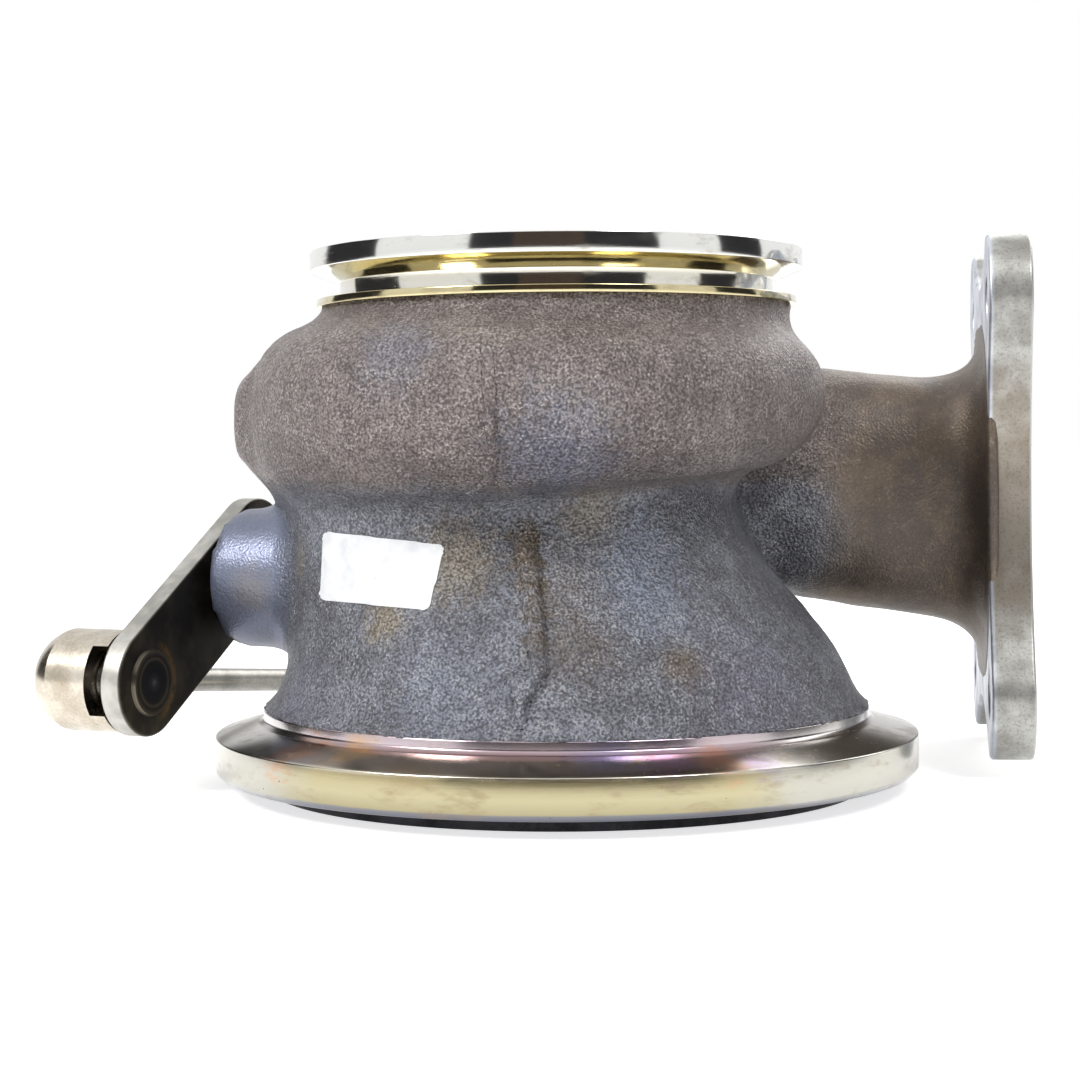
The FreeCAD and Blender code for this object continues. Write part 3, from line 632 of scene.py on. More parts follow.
@dataclass(frozen=True)
class StudFinish:
    """The ball stud: a blackened riveted head with turned ring lines and a painted highlight in its middle,
    and a bright ball.
    """

    spot: Vector
    head_level: float
    head_radius: float

    def material(self) -> bpy.types.Material:
        """Builds the material."""
        shader = Shader("stud_steel", Metallic=0.95)
        fine = shader.clouds(0.3 * MM, 3, 0.6)
        share = shader.from_line(self.spot, SHAFT.out) / (self.head_radius * MM) + (fine - 0.5) * 0.04
        # The lightest stop at the head's middle is a painted highlight; the lighter stops further out are
        # turned ring lines.
        head_rings_and_highlight = shader.ramp(
            share, (0.0, srgb(128, 128, 130)), (0.14, srgb(76, 76, 80)), (0.34, srgb(48, 48, 52)),
            (0.62, srgb(56, 54, 52)), (0.7, srgb(112, 102, 86)), (0.78, srgb(58, 55, 50)),
            (0.93, srgb(118, 110, 94)), (1.0, srgb(72, 68, 60)),
        )
        head = shader.along(SHAFT.out).eased((self.head_level + 1) * MM, (self.head_level + 0.4) * MM)
        bright = shader.mixed(fine.eased(0.4, 0.6), srgb(120, 116, 108), srgb(164, 160, 152))
        return shader.wear(
            Base_Color=shader.mixed(head, bright, head_rings_and_highlight),
            Roughness=0.26 + fine * 0.14,
            Normal=shader.bump(fine, 0.012 * MM, 0.6),
        )


@dataclass(frozen=True)
class BlankLabel:
    """A blank paper sticker, a little soiled."""

    def material(self) -> bpy.types.Material:
        """Builds the material."""
        shader = Shader("blank_label", Metallic=0.0)
        drift = shader.clouds(5 * MM, 4, 0.6)
        fine = shader.clouds(0.25 * MM, 2, 0.6)
        body = shader.mixed(drift.eased(0.4, 0.68), srgb(240, 241, 242), srgb(222, 224, 228))
        body = shader.mixed(shader.cells(2.1 * MM).eased(0.09, 0.04) * 0.35, body, srgb(150, 146, 140))
        return shader.wear(
            Base_Color=body,
            Roughness=0.46 + drift * 0.12,
            Normal=shader.bump(fine, 0.01 * MM, 0.5),
        )


# ---------------------------------------------------------------- the casting


class Cut(enum.Enum):
    """Planes, in mm, where the cast skin ends inside a crisp machined piece.

    Each has a point on the plane, its normal towards the machined side, and how far the skin runs on inside.
    """

    OUTLET = ((0.0, 0.0, 12.9), (0.0, 0.0, -1.0), 0.0)
    CENTRE = ((0.0, 0.0, 82.6), (0.0, 0.0, 1.0), 0.0)
    INLET = ((72.45, 0.0, 0.0), (1.0, 0.0, 0.0), 2.0)

    def apply(self, form: bmesh.types.BMesh) -> None:
        """Cuts the machined side off a closed form and closes it again."""
        spot, facing, run = self.value
        bmesh.ops.bisect_plane(
            form, geom=form.verts[:] + form.edges[:] + form.faces[:], plane_co=Vector(spot) * MM,
            plane_no=facing, clear_outer=True, dist=1e-6,
        )
        rim = [edge for edge in form.edges if edge.is_boundary]
        if run:
            raised = bmesh.ops.extrude_edge_only(form, edges=rim)["geom"]
            moved = [item for item in raised if isinstance(item, bmesh.types.BMVert)]
            bmesh.ops.translate(form, vec=Vector(facing) * run * MM, verts=moved)
            rim = [item for item in raised if isinstance(item, bmesh.types.BMEdge) and item.is_boundary]
        bmesh.ops.triangle_fill(form, use_beauty=False, use_dissolve=False, edges=rim, normal=facing)


@dataclass
class Casting:
    """The cast housing, remade as one soft skin with the sand casting's blends."""

    voxel: float = 1.15
    blend_rounds: int = 22
    ease_rounds: int = 3
    tuck: float = 0.5
    bore_radius: float = 25.6
    bore_levels: tuple[float, float] = (42.0, 67.3)
    pad_spot: Vector = field(default_factory=lambda: Vector((-54.0, -8.5, 62.6)))
    pad_reach: float = 15.0
    waves: tuple[tuple[float, float], ...] = ((5.5, 0.22), (2.9, 0.12))
    least_lift: float = 0.004
    lift_share: float = 0.9
    boss_radius: float = 14.5
    boss_start: float = 38.0
    duct_start: float = 40.0
    duct_smooth: float = 0.6

    def build(self, node: bpy.types.Object) -> bpy.types.Object:
        """Makes the casting's piece.

        Args:
            node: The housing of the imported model.

        Returns:
            The casting, which stands for the node.
        """
        mesh = self._remade(node)
        self._soften(mesh)
        for polygon in mesh.polygons:
            polygon.use_smooth = True
        piece = new_piece("casting", mesh)
        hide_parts(node.name)
        return piece

    def _remade(self, node: bpy.types.Object) -> bpy.types.Mesh:
        """Copies the node's mesh, merged, without its machined ends and with even faces."""
        form = bmesh.new()
        form.from_mesh(node.data)
        bmesh.ops.remove_doubles(form, verts=form.verts, dist=2e-6)
        for end in Cut:
            end.apply(form)
        bmesh.ops.recalc_face_normals(form, faces=form.faces)
        merged = bpy.data.meshes.new("casting_blank")
        form.to_mesh(merged)
        form.free()
        blank = bpy.data.objects.new("casting_blank", merged)
        bpy.context.scene.collection.objects.link(blank)
        modifier = blank.modifiers.new("even", "REMESH")
        modifier.mode = "VOXEL"
        modifier.voxel_size = self.voxel * MM
        graph = bpy.context.evaluated_depsgraph_get()
        mesh = bpy.data.meshes.new_from_object(blank.evaluated_get(graph))
        bpy.data.objects.remove(blank)
        mesh.name = "casting"
        mesh.materials.clear()
        return mesh

    def _soften(self, mesh: bpy.types.Mesh) -> None:
        """Fills the creases, eases the edges, ripples the skin and tucks it behind the bore's liner."""
        count = len(mesh.vertices)
        spots = np.empty(count * 3)
        mesh.vertices.foreach_get("co", spots)
        spots = spots.reshape(-1, 3) / MM
        edges = np.empty(len(mesh.edges) * 2, dtype=np.int32)
        mesh.edges.foreach_get("vertices", edges)
        edges = edges.reshape(-1, 2)
        shares = np.bincount(edges.ravel(), minlength=count)[:, None]
        low, high = self.bore_levels
        from_wheel = np.hypot(spots[:, 0] - WHEEL_X, spots[:, 1])
        bored = (spots[:, 2] > low) & (spots[:, 2] < high) & (from_wheel < self.bore_radius)
        near_pad = np.linalg.norm(spots - np.array(self.pad_spot), axis=1) < self.pad_reach

        def averaged(values: np.ndarray) -> np.ndarray:
            """Averages each point's neighbours."""
            total = np.empty_like(values)
            for axis in range(3):
                column = values[:, axis]
                total[:, axis] = np.bincount(edges[:, 0], column[edges[:, 1]], count)
                total[:, axis] += np.bincount(edges[:, 1], column[edges[:, 0]], count)
            return total / shares

        def normals() -> np.ndarray:
            """Reads the points' normals after a move."""
            mesh.vertices.foreach_set("co", (spots * MM).ravel())
            mesh.update()
            found = np.empty(count * 3, dtype=np.float32)
            mesh.vertex_normals.foreach_get("vector", found)
            return found.reshape(-1, 3)

        for _ in range(self.ease_rounds):
            spots = np.where(bored[:, None], spots, spots * 0.5 + averaged(spots) * 0.5)
        for _ in range(self.blend_rounds):
            facing = normals()
            lift = np.sum((averaged(spots) - spots) * facing, axis=1)
            lift = np.where((lift > self.least_lift) | near_pad, lift, 0) * self.lift_share
            spots = spots + facing * np.where(bored, 0, lift)[:, None]
        facing = normals()
        ripple = np.zeros(count)
        for size, depth in self.waves:
            ripple += depth * np.array([noise.noise(Vector(spot) / size) for spot in spots])
        smooth = self._smooth_share(spots)
        spots = spots + facing * np.where(bored, -self.tuck, ripple * (1 - smooth))[:, None]
        normals()

    def _smooth_share(self, spots: np.ndarray) -> np.ndarray:
        """Gives 1 on the boss, a share on the duct, whose skin is smoother too, and 0 elsewhere."""
        from_shaft = SHAFT.from_axis(spots)
        far = spots @ np.array(SHAFT.out)
        on_boss = np.clip((self.boss_radius - from_shaft) / 1.5, 0, 1)
        on_boss *= np.clip((far - self.boss_start) / 4, 0, 1)
        on_duct = np.clip((spots[:, 0] - self.duct_start) / 12, 0, 1)
        return np.maximum(on_boss, on_duct * self.duct_smooth)


@dataclass
class Surface:
    """A piece's shape, to set small things on."""

    tree: BVHTree

    @classmethod
    def of(cls, piece: bpy.types.Object) -> "Surface":
        """Reads a piece's shape."""
        return cls(BVHTree.FromObject(piece, bpy.context.evaluated_depsgraph_get()))

    def seen(self, view: "View", x: float, y: float) -> tuple[Vector, Vector]:
        """Finds the point and normal that the camera sees at a pixel."""
        direction = view.ray(x, y)
        spot, normal, _, _ = self.tree.ray_cast(view.eye, direction)
        if spot is None:
            raise RuntimeError(f"nothing lies at {x}, {y}")
        return spot, normal if normal.dot(direction) < 0 else -normal

    def nearest(self, spot: Vector) -> tuple[Vector, Vector]:
        """Finds the surface's nearest point and its normal."""
        found, normal, _, _ = self.tree.find_nearest(spot)
        return found, normal


# ---------------------------------------------------------------- machined parts of the casting


@dataclass
class OutletJoint:
    """The turned outlet rim with its bevel and neck, and the spigot, coloured near-black as painted shade
    under the rim.
    """

    spigot_radius: float = 50.9
    rim_floor: float = 2.8
    rim_radius: float = 60.0
    rim_top: float = 9.4
    bevel_radius: float = 52.6
    bevel_top: float = 11.5
    neck_radius: float = 51.8
    neck_top: float = 13.7
    bore_radius: float = 45.2
    steps: int = 224
    heat: tuple[tuple[float, float, float, float, Colour, float], ...] = (
        (-131.0, 56.0, 10.6, 7.0, srgb(196, 132, 78), 0.6),
        (-120.0, 54.0, 11.2, 6.0, srgb(214, 168, 96), 0.5),
        (-106.0, 57.5, 10.2, 7.0, srgb(150, 128, 96), 0.4),
        (-66.0, 55.0, 10.8, 7.0, srgb(150, 112, 150), 0.55),
        (-58.0, 56.0, 10.5, 6.0, srgb(200, 136, 96), 0.55),
        (-52.0, 57.0, 10.2, 5.0, srgb(140, 120, 168), 0.45),
        (-76.0, 53.0, 11.6, 8.0, srgb(150, 146, 186), 0.5),
    )

    def build(self) -> None:
        """Makes the rim and the spigot."""
        patches = []
        for bearing, radius, level, size, colour, share in self.heat:
            turn = math.radians(bearing)
            spot = Vector((radius * math.cos(turn), radius * math.sin(turn), level)) * MM
            patches.append(Patch(spot, size, colour, share))
        new_piece("outlet_rim", spun("outlet_rim", [
            (self.spigot_radius - 3, self.rim_floor), (self.rim_radius - 1, self.rim_floor),
            (self.rim_radius, self.rim_floor + 1), (self.rim_radius, self.rim_top),
            (self.bevel_radius, self.bevel_top), (self.neck_radius, self.bevel_top + 0.7),
            (self.neck_radius, self.neck_top), (self.bore_radius, self.neck_top),
            (self.bore_radius, self.rim_floor + 1), (self.spigot_radius - 3, self.rim_floor + 1),
        ], 0.22, self.steps), Turned(
            "outlet_rim_steel",
            ((0.0, srgb(92, 94, 106)), (0.085, srgb(120, 120, 124)), (0.11, srgb(158, 150, 120)),
             (0.3, srgb(178, 170, 138)), (0.55, srgb(168, 157, 122)), (0.6, srgb(206, 200, 184)),
             (0.625, srgb(140, 128, 114)), (0.76, srgb(152, 136, 122)), (0.82, srgb(166, 142, 146)),
             (0.9, srgb(202, 188, 194))),
            self.rim_floor, self.neck_top, 0.2, srgb(180, 180, 176), 30.0, tuple(patches),
        ).material())
        seat, top, step = self.rim_floor + 0.6, self.rim_floor + 1.6, self.spigot_radius - 2.4
        new_piece("outlet_spigot", spun("outlet_spigot", [
            (self.bore_radius, 0), (self.spigot_radius, 0), (self.spigot_radius, seat),
            (step, seat), (step, top), (self.bore_radius, top),
        ], 0.25, self.steps), Worked(
            # The spigot's near-black colours are painted shade, for the crevice under the rim.
            "spigot_painted_shade_black", srgb(34, 34, 36), srgb(56, 56, 60), srgb(60, 52, 46), 0.3, 0.42,
        ).material())


@dataclass
class CentreJoint:
    """The polished joint with the centre housing: rim, bevel, groove, ledge and pilot."""

    floor: float = 81.8
    ledge_radius: float = 41.2
    ledge: float = 83.1
    rim_radius: float = 42.3
    rim_edge: float = 88.0
    top: float = 91.2
    bevel_radius: float = 37.5
    groove_radius: float = 37.2
    groove_top: float = 86.1
    pilot_radius: float = 33.5
    pilot_floor: float = 87.2
    backplate_radius: float = 30.5
    steps: int = 224

    def build(self) -> None:
        """Makes the joint's ring."""
        new_piece("centre_joint_rim", spun("centre_joint_rim", [
            (self.backplate_radius, self.floor), (self.ledge_radius, self.floor),
            (self.ledge_radius, self.ledge), (self.groove_radius, self.ledge),
            (self.groove_radius, self.groove_top), (self.bevel_radius, self.groove_top),
            (self.rim_radius, self.rim_edge), (self.rim_radius, self.top),
            (self.pilot_radius, self.top), (self.pilot_radius, self.pilot_floor),
            (self.backplate_radius, self.pilot_floor),
        ], 0.14, self.steps, WHEEL_X), Turned(
            "joint_rim_steel",
            ((0.0, srgb(206, 194, 152)), (0.14, srgb(214, 204, 166)), (0.2, srgb(220, 218, 210)),
             (0.44, srgb(218, 214, 200)), (0.48, srgb(212, 204, 174)), (0.64, srgb(222, 216, 192)),
             (0.68, srgb(228, 228, 224)), (1.0, srgb(232, 232, 229))),
            self.floor, self.top, 0.09, srgb(230, 230, 228), 30.0, (), 0.35,
        ).material())


@dataclass
class WheelBore:
    """The bored contour round the turbine wheel."""

    floor: float = 43.2
    exducer_radius: float = 22.3
    inducer_radius: float = 24.8
    throat: float = 58.6
    shoulder: float = 62.8
    top: float = 67.0
    wall: float = 1.6
    steps: int = 160

    def build(self) -> None:
        """Makes the liner's ring, its contour up the inside and down the outside."""
        contour = [
            (self.exducer_radius, self.floor), (self.exducer_radius, self.throat),
            (self.inducer_radius, self.shoulder), (self.inducer_radius, self.top),
        ]
        outside = [(radius + self.wall, level) for radius, level in reversed(contour)]
        new_piece("wheel_bore_liner", spun(
            "wheel_bore_liner", contour + outside, 0.15, self.steps, WHEEL_X,
        ), Worked(
            "bored_steel", srgb(150, 146, 140), srgb(190, 186, 178), srgb(110, 96, 80), 0.3, 0.26,
        ).material())


@dataclass
class InletFlange:
    """The inlet's four-eared bolt flange."""

    reach: float = 80.0
    thickness: float = 7.5
    side: float = 41.0
    level: float = 48.5
    width: float = 73.0
    height: float = 91.7
    corner: float = 11.0
    side_waist: float = 9.5
    end_waist: float = 8.0
    chord_start: float = 13.2
    port_half: tuple[float, float] = (14.8, 17.9)
    port_drop: float = 1.3
    port_squareness: float = 3.0
    bolts: tuple[float, float] = (52.0, 69.0)
    hole_radius: float = 4.25
    edge: float = 0.9

    def build(self) -> None:
        """Makes the plate with its port and holes."""
        form = bmesh.new()
        self._outline(form)
        for across in (-0.5, 0.5):
            for up in (-0.5, 0.5):
                spot = Matrix.Translation((across * self.bolts[0] * MM, up * self.bolts[1] * MM, 0))
                bmesh.ops.create_circle(form, segments=40, radius=self.hole_radius * MM, matrix=spot)
        self._port(form)
        made = bmesh.ops.triangle_fill(form, use_beauty=True, use_dissolve=False, edges=form.edges)
        faces = [item for item in made["geom"] if isinstance(item, bmesh.types.BMFace)]
        raised = bmesh.ops.extrude_face_region(form, geom=faces)
        moved = [item for item in raised["geom"] if isinstance(item, bmesh.types.BMVert)]
        bmesh.ops.translate(form, vec=(0, 0, self.thickness * MM), verts=moved)
        bmesh.ops.recalc_face_normals(form, faces=form.faces)
        bmesh.ops.dissolve_limit(
            form, angle_limit=math.radians(0.5), verts=form.verts, edges=form.edges,
            use_dissolve_boundaries=False,
        )
        back = self.reach - self.thickness
        turn = Matrix(((0, 0, 1, 0), (1, 0, 0, 0), (0, 1, 0, 0), (0, 0, 0, 1)))
        place = Matrix.Translation(Vector((back, self.side, self.level)) * MM)
        bmesh.ops.transform(form, matrix=place @ turn, verts=form.verts)
        plate = new_piece(
            "inlet_flange", to_mesh(form, "inlet_flange"),
            FlangePlate(self.level, back, self.reach).material(),
        )
        bevel = plate.modifiers.new("edges", "BEVEL")
        bevel.width = self.edge * MM
        bevel.segments = 3
        bevel.limit_method = "ANGLE"
        bevel.angle_limit = math.radians(50)
        bevel.harden_normals = True

    @staticmethod
    def _dip(along: float, chord: float, depth: float) -> float:
        """Gives how far an arc over a half chord lies inside the straight side, in mm."""
        if abs(along) >= chord:
            return 0.0
        radius = (chord ** 2 + depth ** 2) / (2 * depth)
        return math.sqrt(radius ** 2 - along ** 2) - radius + depth

    def _outline(self, form: bmesh.types.BMesh) -> None:
        """Draws the rounded outline with its waisted sides."""
        half_width, half_height = self.width / 2, self.height / 2
        corners = [
            form.verts.new((x * half_width * MM, y * half_height * MM, 0))
            for x, y in ((-1, -1), (1, -1), (1, 1), (-1, 1))
        ]
        for index in range(4):
            form.edges.new((corners[index - 1], corners[index]))
        bmesh.ops.bevel(
            form, geom=corners, offset=self.corner * MM, affect="VERTICES", segments=12, profile=0.5,
            material=-1,
        )
        long_sides = [edge for edge in form.edges if edge.calc_length() > self.corner * 2 * MM]
        bmesh.ops.subdivide_edges(form, edges=long_sides, cuts=32)
        for vert in form.verts:
            x, y = vert.co.x / MM, vert.co.y / MM
            if abs(x) > half_width - 0.01:
                dip = self._dip(y, half_height - self.chord_start, self.side_waist)
                vert.co.x -= math.copysign(dip * MM, x)
            elif abs(y) > half_height - 0.01:
                dip = self._dip(x, half_width - self.chord_start, self.end_waist)
                vert.co.y -= math.copysign(dip * MM, y)

    def _port(self, form: bmesh.types.BMesh) -> None:
        """Draws the port's rounded outline."""
        ring = bmesh.ops.create_circle(form, segments=72, radius=1.0)["verts"]
        for vert in ring:
            cosine, sine = vert.co.x, vert.co.y
            power = self.port_squareness
            reach = (abs(cosine) ** power + abs(sine) ** power) ** (-1 / power)
            across, up = cosine * self.port_half[0] * reach, sine * self.port_half[1] * reach
            vert.co = Vector((across, up - self.port_drop, 0)) * MM


# ---------------------------------------------------------------- marks that the mould left


@dataclass
class MouldMark:
    """A raised seam where the mould's halves met, by its pixels in the photograph."""

    name: str
    route: tuple[tuple[float, float], ...]
    widths: tuple[float, float]
    height: float
    steps: int = 90
    rows: int = 6
    wander: float = 0.3
    sunk: float = 0.12
    thickness: float = 0.35
    taper: float = 8.0
    side_waver: float = 700.0
    top_waver: float = 1500.0

    def build(self, surface: Surface, view: "View", material: bpy.types.Material) -> None:
        """Lays the seam on the casting.

        Args:
            surface: The casting's shape.
            view: The photograph's camera.
            material: Its finish.
        """
        line = [surface.seen(view, *self._at(step / self.steps)) for step in range(self.steps + 1)]
        form = bmesh.new()
        bmesh.ops.create_grid(form, x_segments=self.steps, y_segments=self.rows, size=0.5)
        for vert in form.verts:
            share = vert.co.x + 0.5
            index = min(self.steps, max(0, round(share * self.steps)))
            spot, normal = line[index]
            ahead = line[min(index + 1, self.steps)][0] - line[max(index - 1, 0)][0]
            side = ahead.cross(normal).normalized()
            across = vert.co.y * 2
            taper = min(1.0, self.taper * share, self.taper * (1 - share))
            width = self.widths[0] + (self.widths[1] - self.widths[0]) * share
            ragged = 1 + self.wander * noise.noise(spot * self.side_waver)
            foot, _ = surface.nearest(spot + side * across * width / 2 * ragged * MM)
            uneven = 1 + self.wander * noise.noise(foot * self.top_waver)
            rise = self.height * (1 - abs(across) ** 3) * taper * uneven
            vert.co = foot + normal * (rise - self.sunk) * MM
        bmesh.ops.recalc_face_normals(form, faces=form.faces)
        bmesh.ops.solidify(form, geom=form.faces, thickness=self.thickness * MM)
        new_piece(self.name, to_mesh(form, self.name, 60), material)

    def _at(self, share: float) -> tuple[float, float]:
        """Gives the pixel at a share of the route."""
        spot = share * (len(self.route) - 1)
        index = min(int(spot), len(self.route) - 2)
        part = spot - index
        first, second = self.route[index], self.route[index + 1]
        return first[0] + (second[0] - first[0]) * part, first[1] + (second[1] - first[1]) * part


@dataclass
class RaisedPatch:
    """A thin flat shape on the casting, drawn by its corners in the photograph."""

    name: str
    corners: tuple[tuple[float, float], ...]
    rounding: float
    height: float
    sunk: float
    cuts: int

    def build(self, surface: Surface, view: "View", material: bpy.types.Material) -> None:
        """Lays the patch on the casting.

        Args:
            surface: The casting's shape.
            view: The photograph's camera.
            material: Its finish.
        """
        form = bmesh.new()
        corners = [form.verts.new((x, -y, 0)) for x, y in self.corners]
        form.faces.new(corners)
        bmesh.ops.bevel(
            form, geom=corners, offset=self.rounding, affect="VERTICES", segments=5, profile=0.5,
            material=-1,
        )
        for axis in (0, 1):
            low = min(vert.co[axis] for vert in form.verts)
            high = max(vert.co[axis] for vert in form.verts)
            for index in range(1, self.cuts):
                spot, facing = Vector(), Vector()
                spot[axis] = low + (high - low) * index / self.cuts
                facing[axis] = 1
                bmesh.ops.bisect_plane(
                    form, geom=form.verts[:] + form.edges[:] + form.faces[:], plane_co=spot,
                    plane_no=facing, dist=1e-4,
                )
        normals = {}
        for vert in form.verts:
            vert.co, normals[vert] = surface.seen(view, vert.co.x, -vert.co.y)
        average = sum(normals.values(), Vector()).normalized()
        bmesh.ops.smooth_vert(
            form, verts=form.verts, factor=0.5, use_axis_x=True, use_axis_y=True, use_axis_z=True,
        )
        for vert, normal in normals.items():
            vert.co += (normal * 0.2 + average * 0.8) * self.height * MM
        bmesh.ops.recalc_face_normals(form, faces=form.faces)
        if form.faces[:][0].normal.dot(average) < 0:
            bmesh.ops.reverse_faces(form, faces=form.faces)
        bmesh.ops.solidify(form, geom=form.faces, thickness=(self.height + self.sunk) * MM)
        new_piece(self.name, to_mesh(form, self.name, 50), material)


# ---------------------------------------------------------------- the studio


@dataclass
class View:
    """The photograph's camera."""

    eye: Vector = field(default_factory=lambda: Vector((0.0521, -0.3861, 0.0580)))
    bearing: float = 8.3
    roll: float = -0.0078
    focal: float = 2256.0
    horizon: float = 446.0
    sensor: float = 36.0

    @property
    def turn(self) -> Matrix:
        """Gives the camera's turn."""
        bearing = Matrix.Rotation(math.radians(self.bearing), 3, "Z")
        upright = Matrix.Rotation(math.radians(90), 3, "X")
        return bearing @ upright @ Matrix.Rotation(self.roll, 3, "Z")

    def ray(self, x: float, y: float) -> Vector:
        """Points from the eye through a pixel."""
        return (self.turn @ Vector((x - PHOTO_SIDE / 2, self.horizon - y, -self.focal))).normalized()

    def build(self) -> None:
        """Puts the camera in the scene."""
        data = bpy.data.cameras.new("photo_camera")
        data.sensor_width = self.sensor
        data.lens = self.sensor * self.focal / PHOTO_SIDE
        data.shift_y = (self.horizon - PHOTO_SIDE / 2) / PHOTO_SIDE
        data.clip_start = 0.01
        camera = bpy.data.objects.new("photo_camera", data)
        bpy.context.scene.collection.objects.link(camera)
        camera.matrix_world = Matrix.Translation(self.eye) @ self.turn.to_4x4()
        bpy.context.scene.camera = camera


@dataclass
class Lamp:
    """A soft box."""

    name: str
    spot: tuple[float, float, float]
    aim: tuple[float, float, float]
    size: tuple[float, float]
    power: float

    def build(self) -> None:
        """Puts the lamp in the scene."""
        data = bpy.data.lights.new(self.name, "AREA")
        data.shape = "RECTANGLE"
        data.size, data.size_y = self.size
        data.energy = self.power
        lamp = bpy.data.objects.new(self.name, data)
        bpy.context.scene.collection.objects.link(lamp)
        facing = (Vector(self.aim) - Vector(self.spot)).to_track_quat("-Z", "Y")
        lamp.matrix_world = Matrix.Translation(self.spot) @ facing.to_matrix().to_4x4()


@dataclass(frozen=True)
class Card:
    """A standing card that only shows in the polished steel, by its bearing from the object."""

    bearing: float
    half: float
    colour: Colour


@dataclass
class Studio:
    """Plain pale floor, soft lamps, white surroundings and dark cards for the polished steel."""

    surround: float = 0.3
    floor_glow: float = 0.7
    floor_size: float = 30.0
    card_distance: float = 2.0
    card_half_height: float = 0.9
    card_middle: float = 0.5
    lamps: tuple[Lamp, ...] = (
        Lamp("key", (-0.66, -0.56, 0.78), (0, 0, 0.05), (0.3, 0.4), 9.0),
        Lamp("fill", (0.52, -0.5, 0.86), (0, 0, 0.05), (0.3, 0.4), 4.6),
        Lamp("back", (0.5, 0.9, 0.7), (0.05, 0, 0.06), (0.9, 0.5), 5.0),
    )
    cards: tuple[Card, ...] = (
        Card(168.0, 21.0, (0.04, 0.04, 0.045)),
        Card(-111.2, 10.0, (0.04, 0.04, 0.045)),
        Card(-85.6, 17.5, (0.14, 0.1, 0.08)),
        Card(-52.9, 17.5, (0.04, 0.04, 0.045)),
        Card(11.0, 14.0, (0.04, 0.04, 0.045)),
    )

    def build(self) -> None:
        """Puts the studio in the scene."""
        for lamp in self.lamps:
            lamp.build()
        self._world()
        self._floor()
        for index, card in enumerate(self.cards):
            self._stand(index, card)

    def _world(self) -> None:
        """Lights the scene softly and shows white behind it."""
        world = bpy.data.worlds.new("studio")
        world.use_nodes = True
        bpy.context.scene.world = world
        wiring = Wiring(world.node_tree)
        ground = wiring.tree.nodes["Background"]
        seen = wiring.seen_by("Camera", "Glossy", "Transmission")
        wiring.feed(ground.inputs["Strength"], seen * (1 - self.surround) + self.surround)
        ground.inputs["Color"].default_value = (1, 1, 1, 1)

    def _floor(self) -> None:
        """Lays the pale floor."""
        form = bmesh.new()
        bmesh.ops.create_grid(form, x_segments=1, y_segments=1, size=self.floor_size)
        shader = Shader("pale_floor", Base_Color=(0.9, 0.9, 0.9), Roughness=0.9)
        glow = shader.seen_by("Camera", "Glossy") * self.floor_glow
        shader.surface.inputs["Emission Color"].default_value = (1, 1, 1, 1)
        shader.feed(shader.surface.inputs["Emission Strength"], glow)
        self._set_up(form, "floor", shader.material)

    def _stand(self, index: int, card: Card) -> None:
        """Stands a card up where only reflections show it."""
        form = bmesh.new()
        bmesh.ops.create_grid(form, x_segments=1, y_segments=1, size=1.0)
        width = self.card_distance * math.tan(math.radians(card.half))
        bmesh.ops.scale(form, vec=(width, self.card_half_height, 1), verts=form.verts)
        turn = math.radians(card.bearing)
        x, y = self.card_distance * math.cos(turn), self.card_distance * math.sin(turn)
        place = Matrix.Translation((x, y, self.card_middle))
        facing = Matrix.Rotation(turn + math.pi / 2, 4, "Z") @ Matrix.Rotation(math.pi / 2, 4, "X")
        bmesh.ops.transform(form, matrix=place @ facing, verts=form.verts)
        material = Shader(f"card_{index}", Base_Color=card.colour, Roughness=0.9).material
        stood = self._set_up(form, f"card_{index}", material)
        stood.visible_camera = False
        stood.visible_diffuse = False
        stood.visible_shadow = False

    @staticmethod
    def _set_up(form: bmesh.types.BMesh, name: str, material: bpy.types.Material) -> bpy.types.Object:
        """Puts a plane of the studio in the scene."""
        mesh = bpy.data.meshes.new(name)
        form.to_mesh(mesh)
        form.free()
        mesh.materials.append(material)
        plane = bpy.data.objects.new(name, mesh)
        bpy.context.scene.collection.objects.link(plane)
        return plane


# ---------------------------------------------------------------- carried-over pieces


# Nodes, steel, then its dark, light and stain colours, and what Worked takes after them.
STEELS = (
    (("wastegate_bush",), "bush_steel", (92, 88, 84), (150, 146, 140), (120, 92, 60), 0.4, 0.36),
    (("thrust_washer",), "washer_steel", (110, 106, 100), (170, 166, 158), (130, 96, 60), 0.4, 0.34),
    (("valve_washer",), "retainer_steel", (84, 80, 76), (140, 134, 128), (110, 84, 60), 0.4, 0.4),
    (("swing_arm",), "arm_steel", (70, 66, 64), (128, 122, 116), (104, 82, 62), 0.45, 0.48, 0.8),
    (("valve_disc",), "valve_steel", (84, 82, 82), (150, 146, 142), (96, 76, 60), 0.45, 0.38, 0.85),
    (
        ("lever_weld",), "weld_bead", (70, 66, 64), (140, 136, 132), (120, 96, 60), 0.4, 0.4, 0.8,
        0.8 * MM, 0.12 * MM,
    ),
    (
        ("near_socket", "far_socket"), "socket_steel", (176, 166, 150), (208, 200, 186), (150, 132, 106),
        0.2, 0.24, 1.0,
    ),
    (
        ("near_socket_clip", "far_socket_clip"), "spring_wire", (92, 90, 88), (140, 138, 134), (98, 84, 66),
        0.3, 0.3,
    ),
    (("link_rod",), "rod_steel", (112, 110, 104), (146, 144, 138), (110, 98, 80), 0.25, 0.3, 1.0),
    (("rod_jam_nut",), "nut_steel", (128, 124, 112), (186, 180, 164), (150, 126, 80), 0.3, 0.32),
)


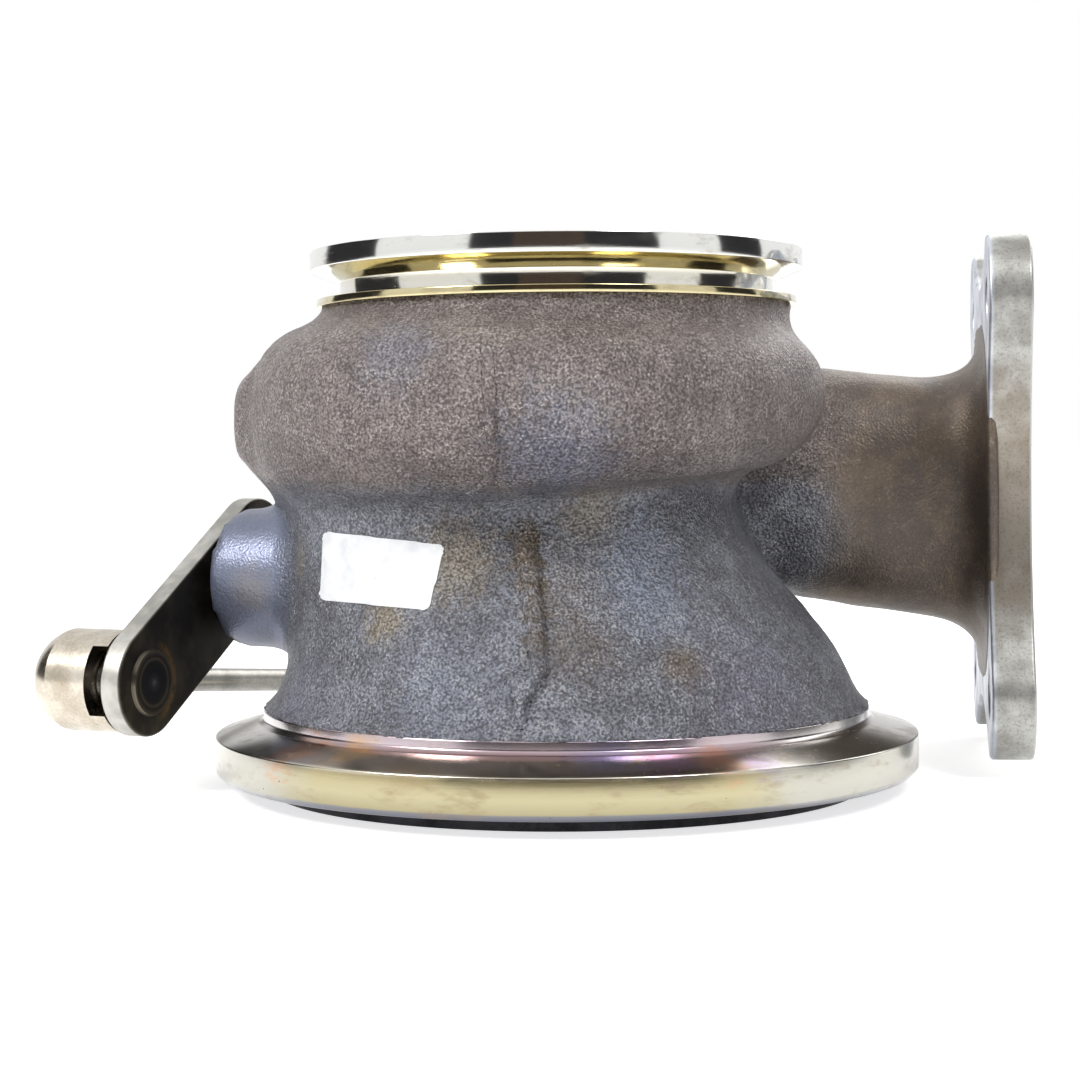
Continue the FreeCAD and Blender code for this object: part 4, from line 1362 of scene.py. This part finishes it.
@dataclass
class Linkage:
    """The wastegate's lever, ball joints, rod and inner pieces, dressed as they are."""

    lever_face: float = 58.05
    lever_back: float = 62.05
    lever_length: float = 31.0
    lever_drop: float = 31.6
    head_height: float = 0.6
    head_radius: float = 5.7

    def dress(self, nodes: dict[str, bpy.types.Object]) -> None:
        """Gives each carried-over node its finish."""
        drop = math.radians(self.lever_drop)
        stud = SHAFT.at(self.lever_length * math.cos(drop), -self.lever_length * math.sin(drop), 0)
        finishes = {
            name: Worked(steel, srgb(*dark), srgb(*light), srgb(*stain), *rest)
            for names, steel, dark, light, stain, *rest in STEELS for name in names
        }
        head_level = self.lever_face - self.head_height
        finishes["ball_stud"] = StudFinish(stud, head_level, self.head_radius)
        finishes["crank_lever"] = LeverFinish(self.lever_face, self.lever_back, stud)
        for name, finish in finishes.items():
            node = nodes[name]
            node.data.materials.clear()
            node.data.materials.append(finish.material())
            LOG.info("%s: dressed as %s", name, type(finish).__name__)


BROWN = srgb(112, 96, 76)
STRAW = srgb(168, 152, 120)
BLUE = srgb(130, 146, 182)
PAINTED_HIGHLIGHT_BLUE = srgb(172, 186, 210)
VIOLET = srgb(112, 108, 128)
TINTS = (
    Tint((684, 664), 5.0, BROWN, 0.7),
    Tint((384, 622), 5.0, STRAW, 0.55),
    Tint((452, 562), 9.0, STRAW, 0.45),
    Tint((590, 515), 7.0, STRAW, 0.4),
    Tint((574, 640), 9.0, BROWN, 0.4),
    Tint((564, 585), 8.0, BROWN, 0.35),
    Tint((526, 535), 3.6, BROWN, 0.8),
    Tint((528, 560), 3.6, BROWN, 0.8),
    Tint((531, 585), 3.6, BROWN, 0.8),
    Tint((534, 612), 3.2, BROWN, 0.7),
    Tint((537, 645), 2.8, BROWN, 0.6),
    # Pale bluish patches where the bell is lit: painted highlights with a bluish tint.
    Tint((640, 560), 10.0, PAINTED_HIGHLIGHT_BLUE, 0.3),
    Tint((650, 610), 8.0, PAINTED_HIGHLIGHT_BLUE, 0.25),
    Tint((440, 700), 12.0, PAINTED_HIGHLIGHT_BLUE, 0.2),
    Tint((300, 690), 10.0, VIOLET, 0.4),
    Tint((560, 455), 12.0, BLUE, 0.3),
    # A bluish patch in the lit upper left of the scroll: a painted sheen; the blue patch above it is a heat
    # tint.
    Tint((395, 348), 9.0, BLUE, 0.18),
    Tint((760, 690), 16.0, VIOLET, 0.4),
    Tint((300, 560), 4.0, STRAW, 0.4),
    Tint((250, 590), 5.0, STRAW, 0.25),
)
MARKS = (
    MouldMark(
        "bell_seam",
        ((524, 523), (527, 560), (532, 600), (537, 640), (538, 670), (531, 688), (521, 702), (520, 729)),
        (3.0, 1.6), 1.1,
    ),
    MouldMark(
        "scroll_seam",
        ((486, 346), (489, 379), (490, 402), (490, 430), (492, 455), (489, 479), (476, 491), (459, 498)),
        (1.5, 1.2), 0.3,
    ),
    MouldMark(
        "duct_seam", ((752, 481), (782, 475), (813, 469), (840, 464), (868, 460)), (1.0, 1.0), 0.3,
    ),
    RaisedPatch("mould_triangle", ((503, 675), (536, 679), (519, 704)), 1.5, 1.2, 0.5, 5),
)
LABEL = RaisedPatch("label", ((323, 531), (446, 545), (429, 611), (319, 600)), 7.0, 0.15, 0.2, 16)


def main() -> None:
    """Builds the scene."""
    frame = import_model()
    bpy.context.scene.view_settings.view_transform = "Standard"
    view = View()
    view.build()
    Studio().build()
    casting = Casting().build(frame["nodes"]["turbine_housing"])
    surface = Surface.of(casting)
    cast = SandCast(tuple(tint.laid(surface, view) for tint in TINTS)).material()
    casting.data.materials.append(cast)
    OutletJoint().build()
    CentreJoint().build()
    WheelBore().build()
    InletFlange().build()
    Linkage().dress(frame["nodes"])
    for mark in MARKS:
        mark.build(surface, view, cast)
    LABEL.build(surface, view, BlankLabel().material())


if __name__ == "__main__":
    logging.basicConfig(level=logging.INFO, format="%(message)s")
    main()
